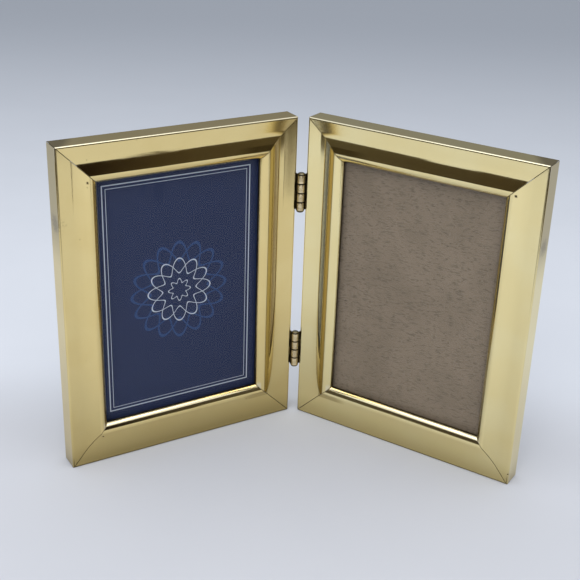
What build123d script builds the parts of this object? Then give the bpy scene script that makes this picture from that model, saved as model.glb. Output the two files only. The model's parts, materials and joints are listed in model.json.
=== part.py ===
"""Hinged double photo frame.

Two small brass frames stand like an open book on two butt hinges. Each frame is four lengths
of one hollow moulding, mitred over corner keys. Glass, boards and a velour back lie in its
rabbet, held in by four turn buttons.

The model stands on Z = 0 with its origin under the middle of its box. +X runs along the spread
of the two frames, and their faces look towards -Y. The right frame is modelled; what the left
one shares with it is its mirror image.
"""

import os
from math import asin, cos, degrees, radians, sin, sqrt

from build123d import *

# Frames, in millimetres and degrees
panel_width = 114.3
panel_height = 153.0
panel_depth = 10.2
opening_angle = 117.0  # between the two faces as the frame stands

# Moulding section, from the outer wall to the sight edge
edge_radius = 0.7
face_run = 5.0  # straight run of the face from the edge to the cove
face_tilt = 10.0  # by which that run falls away inwards
ridge_radius = 0.6
ridge_inset = 14.2
bead_radius = 4.2
bead_sweep = 65.0
lip_radius = 0.35
lip_drop = 1.3  # straight run from the bead to the glass
rabbet_inset = 12.1
wall = 0.7
rear_radius = 0.3
mitre_gap = 0.1

# What lies in the rabbet, from the front
pane_clearance = 0.3
glass_thickness = 2.0
glass_arris = 0.2
card_thickness = 0.35
packing_share = 0.4  # of what the other layers leave for the packing and the back board
velour_thickness = 0.4
button_slack = 0.15  # from the velour to the turn buttons

# Corner keys inside the hollow of the moulding
key_leg = 22.0
key_width = 8.0
key_thickness = 1.6
key_clearance = 0.3

# Hinges
hinge_spacing = 81.6
hinge_length = 17.4
knuckle_count = 4
knuckle_gap = 0.4
barrel_radius = 1.9
pin_radius = 1.1
pin_clearance = 0.05
pin_head_radius = 1.8
pin_head_height = 1.0
pin_head_gap = 0.1
leaf_width = 8.0  # from the pin's axis
leaf_offset = 1.4  # from the pin's axis to the side wall that the leaf lies on
leaf_relief = 0.15
leaf_corner_radius = 1.0
face_clearance = 0.1  # from the barrel to the plane of the faces

# Rivets that hold the leaves
leaf_rivet_spacing = 10.4
leaf_rivet_radius = 0.8
leaf_rivet_head_radius = 1.45
leaf_rivet_sink_angle = 90.0
leaf_rivet_tail_radius = 1.2
leaf_rivet_tail_height = 0.5

# Turn buttons and their rivets
button_pivot_inset = 7.6
button_reach = 7.4
button_hub_radius = 3.1
button_tip_radius = 2.2
button_thickness = 0.8
button_edge_radius = 0.2
button_gap = 0.1
button_rivet_radius = 1.0
button_rivet_head_radius = 1.9
button_rivet_head_height = 0.7
button_rivet_tail_radius = 1.6
button_rivet_tail_height = 0.5

rivet_clearance = 0.05

# Heights and depths that follow from the sizes above
leaf_thickness = barrel_radius - pin_radius - pin_clearance
axis_to_face = barrel_radius + face_clearance
knuckle_pitch = (hinge_length + knuckle_gap) / knuckle_count
hinge_bottoms = {
    "lower": (panel_height - hinge_spacing - hinge_length) / 2,
    "upper": (panel_height + hinge_spacing - hinge_length) / 2,
}

# The cove starts along the face's run and ends in the ridge, whose top is flush with the edge
slope, level = sin(radians(face_tilt)), cos(radians(face_tilt))
cove_width = ridge_inset - edge_radius * (1 + slope) - face_run * level
cove_rise = edge_radius * (1 - level) + face_run * slope
cove_radius = (cove_width**2 + cove_rise * (cove_rise - 2 * ridge_radius)) / (
    2 * (ridge_radius + cove_width * slope - (ridge_radius - cove_rise) * level)
)
ridge_angle = degrees(asin((cove_width - cove_radius * slope) / (cove_radius + ridge_radius)))
seat_depth = (
    bead_radius * (1 - cos(radians(bead_sweep)))
    + lip_radius * (1 + cos(radians(bead_sweep)))
    + lip_drop
)
pocket_width = panel_width - 2 * (rabbet_inset + pane_clearance)
pocket_height = panel_height - 2 * (rabbet_inset + pane_clearance)
boards_thickness = (
    panel_depth - button_slack - velour_thickness
    - card_thickness - glass_thickness - seat_depth
)
packing_thickness = boards_thickness * packing_share
back_thickness = boards_thickness - packing_thickness

# The right frame's own axes: u outwards from the hinge side, v from the face to the back, z up.
# The pin's axis stands so far back that the whole model is centred on the origin.
turn = radians(90 - opening_angle / 2)
foremost = (
    (axis_to_face + edge_radius) * cos(turn)
    - (leaf_offset + panel_width - edge_radius) * sin(turn) - edge_radius
)
rearmost = (
    (axis_to_face + panel_depth - rear_radius) * cos(turn)
    - (leaf_offset + rear_radius) * sin(turn) + rear_radius
)
axis_y = -(foremost + rearmost) / 2
leaf_axes = Plane((0, axis_y, 0), x_dir=(cos(turn), -sin(turn), 0), z_dir=(0, 0, 1))
panel_axes = Plane(leaf_axes * Pos(leaf_offset, axis_to_face, 0))
OUT, BACK, UP = (1, 0, 0), (0, 1, 0), (0, 0, 1)
IN, DOWN = (-1, 0, 0), (0, 0, -1)

# Each rail: the corner it starts from, its way inwards to the sight, its way along, its length
rails = {
    "hinge_stile": ((0, 0, 0), OUT, UP, panel_height),
    "top_rail": ((0, 0, panel_height), DOWN, OUT, panel_width),
    "outer_stile": ((panel_width, 0, panel_height), IN, DOWN, panel_height),
    "bottom_rail": ((panel_width, 0, 0), UP, IN, panel_width),
}


def panel_plane(origin, x_dir, z_dir):
    """A plane given in the right frame's own axes."""
    return Plane(panel_axes * Plane(origin, x_dir=x_dir, z_dir=z_dir))


def along_panel(start, *steps):
    """A point in the right frame's own axes, reached from start by (direction, distance) steps."""
    return sum((Vector(way) * distance for way, distance in steps), Vector(start))


def pivot_plane(start, inward, along, length):
    """The plane of a turn button's pivot on a rail's rear face: X inwards, Z to the back."""
    pivot = along_panel(
        start, (inward, button_pivot_inset), (along, length / 2), (BACK, panel_depth)
    )
    return panel_plane(pivot, inward, BACK)


def leaf_rivet_planes(hinge_bottom):
    """The planes of a leaf's rivets on the stile's outer wall, Z out of the wall."""
    depth = (leaf_width + barrel_radius + leaf_relief) / 2 - axis_to_face
    middle = hinge_bottom + hinge_length / 2
    return [
        panel_plane((0, depth, middle + side * leaf_rivet_spacing / 2), UP, IN) for side in (-1, 1)
    ]


def mitred_rail(start, inward, along, length):
    """A length of the moulding, cut at 45 degrees at both ends."""
    with BuildPart() as rail:
        with BuildSketch(panel_plane(start, inward, along)):
            with BuildLine():
                outer = Line((0, panel_depth - rear_radius), (0, edge_radius))
                edge = JernArc(outer @ 1, outer % 1, edge_radius, 90 + face_tilt)
                face = Line(edge @ 1, edge @ 1 + Vector(level, slope) * face_run)
                cove = JernArc(face @ 1, face % 1, cove_radius, -face_tilt - ridge_angle)
                ridge = JernArc(cove @ 1, cove % 1, ridge_radius, ridge_angle)
                bead = JernArc(ridge @ 1, ridge % 1, bead_radius, bead_sweep)
                roll = JernArc(bead @ 1, bead % 1, lip_radius, 90 - bead_sweep)
                drop = Line(roll @ 1, roll @ 1 + Vector(0, lip_drop))
                lip = JernArc(drop @ 1, drop % 1, lip_radius, 90)
                seat = Line(lip @ 1, lip @ 1 - Vector(wall - lip_radius, 0))
                rise = Line(seat @ 1, seat @ 1 - Vector(0, lip_drop))
                ceiling = Line(rise @ 1, (rabbet_inset, (rise @ 1).Y))
                rabbet = Line(ceiling @ 1, (rabbet_inset, panel_depth - rear_radius))
                inner_rear = JernArc(rabbet @ 1, rabbet % 1, rear_radius, 90)
                rear = Line(inner_rear @ 1, (rear_radius, panel_depth))
                JernArc(rear @ 1, rear % 1, rear_radius, 90)
            make_face()
            with BuildLine():
                hub = cove.center_point
                under = cove_radius + wall
                start_of_cove = hub + Vector(-slope, level) * under
                run_back = (start_of_cove.X - wall) / level
                end_of_cove = rabbet_inset - wall
                hollow = Polyline(
                    start_of_cove,
                    start_of_cove - Vector(level, slope) * run_back,
                    (wall, panel_depth - wall),
                    (end_of_cove, panel_depth - wall),
                    (end_of_cove, hub.Y + sqrt(under**2 - (end_of_cove - hub.X) ** 2)),
                )
                ThreePointArc(hollow @ 1, (hub.X, hub.Y + under), hollow @ 0)
            make_face(mode=Mode.SUBTRACT)
        extrude(amount=length)
        for end, way in ((0, 1), (length, -1)):
            corner = along_panel(start, (along, end))
            normal = (Vector(along) * way - Vector(inward)).normalized()
            mitre = Plane(panel_axes * Plane(corner + normal * (mitre_gap / 2), z_dir=normal))
            split(bisect_by=mitre, keep=Keep.TOP)
        with BuildSketch(pivot_plane(start, inward, along, length)):
            Circle(button_rivet_radius + rivet_clearance)
        extrude(amount=-wall, mode=Mode.SUBTRACT)
    return rail.part


def rabbet_sheet(depth, thickness):
    """A flat sheet that fills the rabbet, its face at the given depth."""
    middle = (panel_width / 2, depth, panel_height / 2)
    with BuildPart() as sheet:
        with BuildSketch(panel_plane(middle, OUT, BACK)):
            Rectangle(pocket_width, pocket_height)
        extrude(amount=thickness)
    return sheet.part


def hinge_leaf(bottom, knuckles):
    """A leaf on the right frame's side wall, with the knuckles of the given numbers from below."""
    bore_radius = pin_radius + pin_clearance
    relief = barrel_radius + leaf_relief
    with BuildPart() as leaf:
        with BuildSketch(Plane(leaf_axes * Pos(0, 0, bottom))):
            with Locations((leaf_offset - leaf_thickness, relief)):
                Rectangle(leaf_thickness, leaf_width - relief, align=(Align.MIN, Align.MIN))
        extrude(amount=hinge_length)
        rounded = leaf.edges().filter_by(Axis((0, 0, 0), leaf_axes.x_dir))
        fillet(rounded.group_by(Axis((0, 0, 0), leaf_axes.y_dir))[-1], leaf_corner_radius)
        for number in knuckles:
            with BuildSketch(Plane(leaf_axes * Pos(0, 0, bottom + number * knuckle_pitch))):
                Circle(barrel_radius)
                with Locations((leaf_offset - leaf_thickness, 0)):
                    Rectangle(leaf_thickness, relief, align=(Align.MIN, Align.MIN))
                Circle(bore_radius, mode=Mode.SUBTRACT)
            extrude(amount=knuckle_pitch - knuckle_gap)
        for hole in leaf_rivet_planes(bottom):
            with Locations(hole.offset(leaf_thickness)):
                CounterSinkHole(
                    leaf_rivet_radius + rivet_clearance,
                    leaf_rivet_head_radius + rivet_clearance,
                    counter_sink_angle=leaf_rivet_sink_angle,
                )
    return leaf.part


def mirrored(piece):
    """The left frame's twin of a piece of the right frame."""
    with BuildPart() as twin:
        mirror(piece, about=Plane.YZ)
    return twin.part


pieces = {}

# Rails, with the hinge stile drilled for the leaf rivets
for name, rail in rails.items():
    pieces[f"right_{name}"] = mitred_rail(*rail)

with BuildPart() as drilled_stile:
    add(pieces["right_hinge_stile"])
    for hinge_bottom in hinge_bottoms.values():
        for hole in leaf_rivet_planes(hinge_bottom):
            with BuildSketch(hole):
                Circle(leaf_rivet_radius + rivet_clearance)
            extrude(amount=-wall, mode=Mode.SUBTRACT)
pieces["right_hinge_stile"] = drilled_stile.part

# Corner keys: a rectangular band cut away between its corners, on the rear wall's inner face
with BuildPart() as corner_keys:
    key_inset = wall + key_clearance
    middle = (panel_width / 2, panel_depth - wall, panel_height / 2)
    with BuildSketch(panel_plane(middle, OUT, BACK)):
        Rectangle(panel_width - 2 * key_inset, panel_height - 2 * key_inset)
        inner_inset = key_inset + key_width
        Rectangle(
            panel_width - 2 * inner_inset, panel_height - 2 * inner_inset, mode=Mode.SUBTRACT
        )
        Rectangle(panel_width - 2 * key_leg, panel_height, mode=Mode.SUBTRACT)
        Rectangle(panel_width, panel_height - 2 * key_leg, mode=Mode.SUBTRACT)
    extrude(amount=-key_thickness)
pieces["right_corner_keys"] = corner_keys.part

# Turn buttons and their rivets, one in the middle of each rail's rear face
for name, rail in rails.items():
    with BuildPart() as button:
        with BuildSketch(pivot_plane(*rail).offset(button_gap)):
            Circle(button_hub_radius)
            with Locations((button_reach - button_tip_radius, 0)):
                Circle(button_tip_radius)
            make_hull()
            Circle(button_rivet_radius + rivet_clearance, mode=Mode.SUBTRACT)
        extrude(amount=button_thickness)
        rear_face = button.faces().sort_by(Axis((0, 0, 0), panel_axes.y_dir))[-1]
        fillet(rear_face.outer_wire().edges(), button_edge_radius)
    pieces[f"right_{name}_button"] = button.part

with BuildPart() as button_rivets:
    head_bottom = button_thickness + 2 * button_gap
    head_top = head_bottom + button_rivet_head_height
    tail_bottom = -wall - button_rivet_tail_height
    for rail in rails.values():
        pivot = pivot_plane(*rail)
        with BuildSketch(Plane(pivot.origin, x_dir=pivot.x_dir, z_dir=-pivot.y_dir)):
            with BuildLine():
                Polyline(
                    (0, head_top),
                    (0, tail_bottom),
                    (button_rivet_tail_radius, tail_bottom),
                    (button_rivet_tail_radius, -wall),
                    (button_rivet_radius, -wall),
                    (button_rivet_radius, head_bottom),
                    (button_rivet_head_radius, head_bottom),
                )
                TangentArc(
                    (0, head_top), (button_rivet_head_radius, head_bottom), tangent=(1, 0)
                )
            make_face()
        revolve(axis=Axis(pivot.origin, pivot.z_dir))
pieces["right_button_rivets"] = button_rivets.part

# Leaf rivets: a sunk head flush with the leaf, and a tail upset inside the stile's wall
with BuildPart() as leaf_rivets:
    sink_depth = (leaf_rivet_head_radius - leaf_rivet_radius) / sin(
        radians(leaf_rivet_sink_angle / 2)
    ) * cos(radians(leaf_rivet_sink_angle / 2))
    tail_bottom = -wall - leaf_rivet_tail_height
    for hinge_bottom in hinge_bottoms.values():
        for hole in leaf_rivet_planes(hinge_bottom):
            with BuildSketch(Plane(hole.origin, x_dir=hole.x_dir, z_dir=-hole.y_dir)):
                with BuildLine():
                    Polyline(
                        (0, leaf_thickness),
                        (0, tail_bottom),
                        (leaf_rivet_tail_radius, tail_bottom),
                        (leaf_rivet_tail_radius, -wall),
                        (leaf_rivet_radius, -wall),
                        (leaf_rivet_radius, leaf_thickness - sink_depth),
                        (leaf_rivet_head_radius, leaf_thickness),
                        close=True,
                    )
                make_face()
            revolve(axis=Axis(hole.origin, hole.z_dir))
pieces["right_leaf_rivets"] = leaf_rivets.part

# The left frame's twins of all of these
for name in list(pieces):
    pieces[name.replace("right_", "left_")] = mirrored(pieces[name])

# Glass with seamed edges, boards and velour. Only the left frame holds a card.
stacks = {
    "right": {"packing_board": packing_thickness},
    "left": {"insert_card": card_thickness, "packing_board": packing_thickness},
}
for side, stack in stacks.items():
    with BuildPart() as glass:
        add(rabbet_sheet(seat_depth, glass_thickness))
        chamfer(glass.edges(), glass_arris)
    layers = {"glass": glass.part}
    depth = seat_depth + glass_thickness
    stack = stack | {"back_board": back_thickness, "back_velour": velour_thickness}
    for name, thickness in stack.items():
        layers[name] = rabbet_sheet(depth, thickness)
        depth += thickness
    for name, layer in layers.items():
        pieces[f"{side}_{name}"] = layer if side == "right" else mirrored(layer)

# Hinges: the right leaf has the top knuckle, and the knuckles alternate below it
right_knuckles = range(knuckle_count - 1, -1, -2)
left_knuckles = range(knuckle_count - 2, -1, -2)
for level, bottom in hinge_bottoms.items():
    pieces[f"{level}_hinge_right_leaf"] = hinge_leaf(bottom, right_knuckles)
    pieces[f"{level}_hinge_left_leaf"] = mirrored(hinge_leaf(bottom, left_knuckles))

    # Pin with a domed head at each end
    with BuildPart() as pin:
        heads = [bottom - pin_head_gap, bottom + hinge_length + pin_head_gap]
        tips = [heads[0] - pin_head_height, heads[1] + pin_head_height]
        with BuildSketch(Plane((0, axis_y, 0), x_dir=(1, 0, 0), z_dir=(0, -1, 0))):
            with BuildLine():
                TangentArc((0, tips[0]), (pin_head_radius, heads[0]), tangent=(1, 0))
                Polyline(
                    (pin_head_radius, heads[0]),
                    (pin_radius, heads[0]),
                    (pin_radius, heads[1]),
                    (pin_head_radius, heads[1]),
                )
                TangentArc((0, tips[1]), (pin_head_radius, heads[1]), tangent=(1, 0))
                Line((0, tips[1]), (0, tips[0]))
            make_face()
        revolve(axis=Axis((0, axis_y, 0), (0, 0, 1)))
    pieces[f"{level}_hinge_pin"] = pin.part

# One file for each piece
os.makedirs("parts", exist_ok=True)
for name, piece in pieces.items():
    piece.label = name
    export_step(piece, f"parts/{name}.step")
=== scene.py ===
"""Looks of a hinged double photo frame: two polished brass frames on a pair of butt hinges.

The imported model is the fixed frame. The rails, hinges, turn buttons, rivets, glass and velour
backs are worked out here as smooth surfaces in the places of their solids. The card, boards and
corner keys keep their solids and get finishes. Sizes are in millimetres until a mesh is made.
"""

from __future__ import annotations

import json
import logging
from dataclasses import dataclass, field
from enum import Enum
from functools import reduce
from math import acos, asin, atan2, cos, degrees, pi, radians, sin, sqrt

import bpy
import numpy as np
from mathutils import Matrix, Vector
from numpy.typing import NDArray

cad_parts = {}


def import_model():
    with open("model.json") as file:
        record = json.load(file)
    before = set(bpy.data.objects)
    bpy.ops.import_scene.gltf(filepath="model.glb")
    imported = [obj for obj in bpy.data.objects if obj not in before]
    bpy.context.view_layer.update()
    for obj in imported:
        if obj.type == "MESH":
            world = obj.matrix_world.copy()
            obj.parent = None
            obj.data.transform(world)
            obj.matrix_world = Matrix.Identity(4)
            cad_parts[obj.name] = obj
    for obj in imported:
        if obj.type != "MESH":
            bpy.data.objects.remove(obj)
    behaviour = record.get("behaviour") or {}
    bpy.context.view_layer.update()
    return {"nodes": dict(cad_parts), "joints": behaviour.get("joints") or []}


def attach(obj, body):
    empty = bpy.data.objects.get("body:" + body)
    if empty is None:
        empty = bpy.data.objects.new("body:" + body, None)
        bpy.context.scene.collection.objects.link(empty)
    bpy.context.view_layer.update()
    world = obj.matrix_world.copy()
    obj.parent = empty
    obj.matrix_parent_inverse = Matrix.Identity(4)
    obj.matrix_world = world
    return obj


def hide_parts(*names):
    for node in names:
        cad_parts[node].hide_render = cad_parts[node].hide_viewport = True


LOG = logging.getLogger("double_photo_frame")
MM = 0.001
UP = np.array([0.0, 0.0, 1.0])
UV_RUN = "run"  # a rail's UV map: distance along it and distance across its section
SHADE_AND_GRIME = "shade_and_grime"  # a piece's own share of grime and painted shade, point by point
CREASE = 0.001  # radius of a sharp inner corner
TIP = 1e-4  # radius at which a turned profile closes on its axis

Array = NDArray[np.float64]
Numbers = NDArray[np.int64]
Socket = bpy.types.NodeSocket
Feed = float | tuple[float, ...] | Socket
Colour = tuple[float, float, float]
Point = tuple[float, float, float]
Reach = tuple[float, float]


class Side(Enum):
    """The two frames, as seen from the front."""

    LEFT = "left"
    RIGHT = "right"

    @property
    def sign(self) -> int:
        """-1 on the left and +1 on the right."""
        return -1 if self is Side.LEFT else 1

    @property
    def body(self) -> str:
        """Name of the frame's own body."""
        return f"{self.value}_panel"


class Slot(Enum):
    """Material slots of the record, passed along with the new pieces but not given to them."""

    MOULDING = "moulding"
    HINGES = "hinges"
    PINS = "hinge_pins"
    BUTTONS = "turn_buttons"
    RIVETS = "rivets"
    GLASS = "glass"
    VELOUR = "velour"


@dataclass(frozen=True)
class LocalAxes:
    """Axes that go with one frame: u outwards from the hinge, v from face to back, z up."""

    origin: Array
    out: Array
    back: Array

    def place(self, u: Array | float, v: Array | float, z: Array | float) -> Array:
        """Points of the row frame at local u, v and z.

        Args:
            u: Distance outwards from the hinge side.
            v: Depth behind the face.
            z: Height above the table.

        Returns:
            origin + u * out + v * back + z * up, one row of three for each point.
        """
        u, v, z = np.broadcast_arrays(
            np.asarray(u, float), np.asarray(v, float), np.asarray(z, float)
        )
        return (
            self.origin + u[..., None] * self.out + v[..., None] * self.back + z[..., None] * UP
        )

    def shifted(self, u: float, v: float) -> LocalAxes:
        """The same axes from an origin moved by u and v."""
        return LocalAxes(self.place(u, v, 0.0), self.out, self.back)

    def mapping(self, centre: Array) -> tuple[tuple[float, ...], tuple[float, ...]]:
        """Place and turn of a Mapping node whose X follows u, Y goes up and Z looks out.

        Args:
            centre: The pattern's centre in the row frame, in millimetres.

        Returns:
            Location in metres and Euler angles in radians.
        """
        across = np.cross(UP, -self.back)
        turn = Matrix(np.stack([across, UP, -self.back], axis=1).tolist())
        return tuple(centre * MM), tuple(turn.to_euler())


@dataclass
class Shell:
    """A closed surface: points, quads, end caps, run along the surface, grime and painted shade."""

    points: Array
    quads: Numbers
    caps: list[Numbers] = field(default_factory=list)
    run: Array | None = None
    shade_and_grime: Array | None = None

    def outward(self) -> Shell:
        """The same shell with its faces turned outwards.

        The sum of a . (b x c) over triangles seen from the middle is six times the volume, and
        it is negative where the faces look inwards.

        Returns:
            This shell, its corners reversed where the volume came out negative.
        """
        corners = (self.points - self.points.mean(axis=0))[self.quads]
        halves = np.concatenate([corners[:, [0, 1, 2]], corners[:, [0, 2, 3]]])
        volume = np.einsum("ij,ij->", halves[:, 0], np.cross(halves[:, 1], halves[:, 2]))
        if volume >= 0:
            return self
        turned = [cap[::-1] for cap in self.caps]
        return Shell(self.points, self.quads[:, ::-1], turned, self.run, self.shade_and_grime)

    @staticmethod
    def joined(shells: list[Shell]) -> Shell:
        """Several shells as one, their points numbered on."""
        starts = np.cumsum([0] + [len(s.points) for s in shells[:-1]])
        runs = [s.run for s in shells if s.run is not None]
        shade_and_grime_parts = [s.shade_and_grime for s in shells if s.shade_and_grime is not None]
        return Shell(
            np.concatenate([s.points for s in shells]),
            np.concatenate([s.quads + n for s, n in zip(shells, starts)]),
            [c + n for s, n in zip(shells, starts) for c in s.caps],
            np.concatenate(runs) if len(runs) == len(shells) else None,
            np.concatenate(shade_and_grime_parts) if len(shade_and_grime_parts) == len(shells) else None,
        )

    def piece(
        self, name: str, body: str, slot: Slot, finish: bpy.types.Material
    ) -> bpy.types.Object:
        """Makes the shell a smooth mesh object that rides on a body.

        Args:
            name: Name of the piece.
            body: The body that carries it.
            slot: The record's material slot; not used.
            finish: Its material.

        Returns:
            The new object.
        """
        mesh = bpy.data.meshes.new(name)
        faces = self.quads.tolist() + [cap.tolist() for cap in self.caps]
        mesh.from_pydata((self.points * MM).tolist(), [], faces)
        mesh.polygons.foreach_set("use_smooth", np.ones(len(mesh.polygons), bool))
        if self.run is not None:
            corner = np.zeros(len(mesh.loops), np.int32)
            mesh.loops.foreach_get("vertex_index", corner)
            layer = mesh.uv_layers.new(name=UV_RUN)
            layer.data.foreach_set("uv", (self.run[corner] * MM).astype(np.float32).ravel())
        if self.shade_and_grime is not None:
            share = mesh.attributes.new(SHADE_AND_GRIME, "FLOAT", "POINT")
            share.data.foreach_set("value", self.shade_and_grime.astype(np.float32))
        mesh.materials.append(finish)
        mesh.validate()
        piece = bpy.data.objects.new(name, mesh)
        bpy.context.scene.collection.objects.link(piece)
        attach(piece, body)
        LOG.info("piece %s: %d faces on %s", name, len(mesh.polygons), body)
        return piece


def grid_quads(rows: int, columns: int, wrap_rows: bool, wrap_columns: bool) -> Numbers:
    """Quads between neighbours of a grid whose points are numbered row by row.

    Args:
        rows: Number of rows.
        columns: Number of points in a row.
        wrap_rows: True where the last row meets the first.
        wrap_columns: True where each row is a closed ring.

    Returns:
        Four point numbers for each quad.
    """
    row, column = np.meshgrid(
        np.arange(rows if wrap_rows else rows - 1),
        np.arange(columns if wrap_columns else columns - 1),
        indexing="ij",
    )
    below, beside = (row + 1) % rows, (column + 1) % columns
    corners = [row * columns + column, row * columns + beside]
    corners += [below * columns + beside, below * columns + column]
    return np.stack(corners, axis=-1).reshape(-1, 4)


def tube(
    rings: Array, closed: bool = False, run: Array | None = None, shade_and_grime: Array | None = None
) -> Shell:
    """Joins a stack of closed rings into a shell, capped at its two ends.

    Args:
        rings: Points by ring and place in the ring.
        closed: True where the last ring meets the first, as on a torus.
        run: Distance along and across the surface at each point.
        shade_and_grime: How much grime and painted shade each point has, from 0 to 1.

    Returns:
        The shell, facing outwards.
    """
    count, size = rings.shape[:2]
    ends = [] if closed else [np.arange(size)[::-1], np.arange(size) + (count - 1) * size]
    flat = None if run is None else run.reshape(-1, 2)
    shade_and_grime_tone = None if shade_and_grime is None else shade_and_grime.reshape(-1)
    quads = grid_quads(count, size, closed, True)
    return Shell(rings.reshape(-1, 3), quads, ends, flat, shade_and_grime_tone).outward()


def rounded_rectangle(
    width: float, height: float, radius: float, steps: int
) -> tuple[Array, Array]:
    """A rectangle about the origin with round corners.

    Each corner is centre + radius * (cos a, sin a) as a runs through its quarter turn.

    Args:
        width: Size along the first axis.
        height: Size along the second axis.
        radius: Corner radius.
        steps: Steps in each corner.

    Returns:
        Points of the outline in order, and their outward normals.
    """
    turns = np.linspace(0, pi / 2, steps + 1)[None] + np.arange(4)[:, None] * pi / 2
    normals = np.stack([np.cos(turns), np.sin(turns)], axis=-1)
    corner = np.array([[1, 1], [-1, 1], [-1, -1], [1, -1]], float)
    centres = corner * np.array([width / 2 - radius, height / 2 - radius])
    return (centres[:, None] + radius * normals).reshape(-1, 2), normals.reshape(-1, 2)


def rolled_edge(radius: float, steps: int) -> tuple[Array, Array]:
    """A quarter round from a side to a face.

    Args:
        radius: Radius of the rounding.
        steps: Steps over the quarter.

    Returns:
        How far the surface has drawn in, r (1 - cos a), and how far it still has to go to the
        face, r (1 - sin a), as a runs from 0 to 90 degrees.
    """
    turn = np.linspace(0, pi / 2, steps + 1)
    return radius * (1 - np.cos(turn)), radius * (1 - np.sin(turn))


def revolved(profile: Array, foot: Array, axis: Array, steps: int) -> Shell:
    """A profile of radius and height turned round an axis.

    A point is foot + height * axis + radius * (cos a * side + sin a * cross).

    Args:
        profile: Radius and height of each ring, its first and last radius nearly nothing.
        foot: Foot of the axis.
        axis: Direction of the axis.
        steps: Points in a ring.

    Returns:
        The shell.
    """
    axis = axis / np.linalg.norm(axis)
    helper = np.eye(3)[int(np.argmin(np.abs(axis)))]
    side = np.cross(axis, helper)
    side /= np.linalg.norm(side)
    turn = np.linspace(0, 2 * pi, steps, endpoint=False)
    ring = np.outer(np.cos(turn), side) + np.outer(np.sin(turn), np.cross(axis, side))
    middle = foot + profile[:, 1:2] * axis
    return tube(middle[:, None] + profile[:, 0, None, None] * ring[None])


def dome(radius: float, height: float, seat: float, steps: int) -> Array:
    """Profile of a domed head, radius * cos a by seat + height * sin a, closed at its top.

    Args:
        radius: Radius of the head.
        height: Rise of the head.
        seat: Level that it rises from.
        steps: Rings over the quarter turn.

    Returns:
        Radius and height of each ring, from the rim to the top.
    """
    turn = np.linspace(0, pi / 2, steps)
    profile = np.stack([radius * np.cos(turn), seat + height * np.sin(turn)], axis=1)
    profile[-1, 0] = TIP
    return profile


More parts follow.
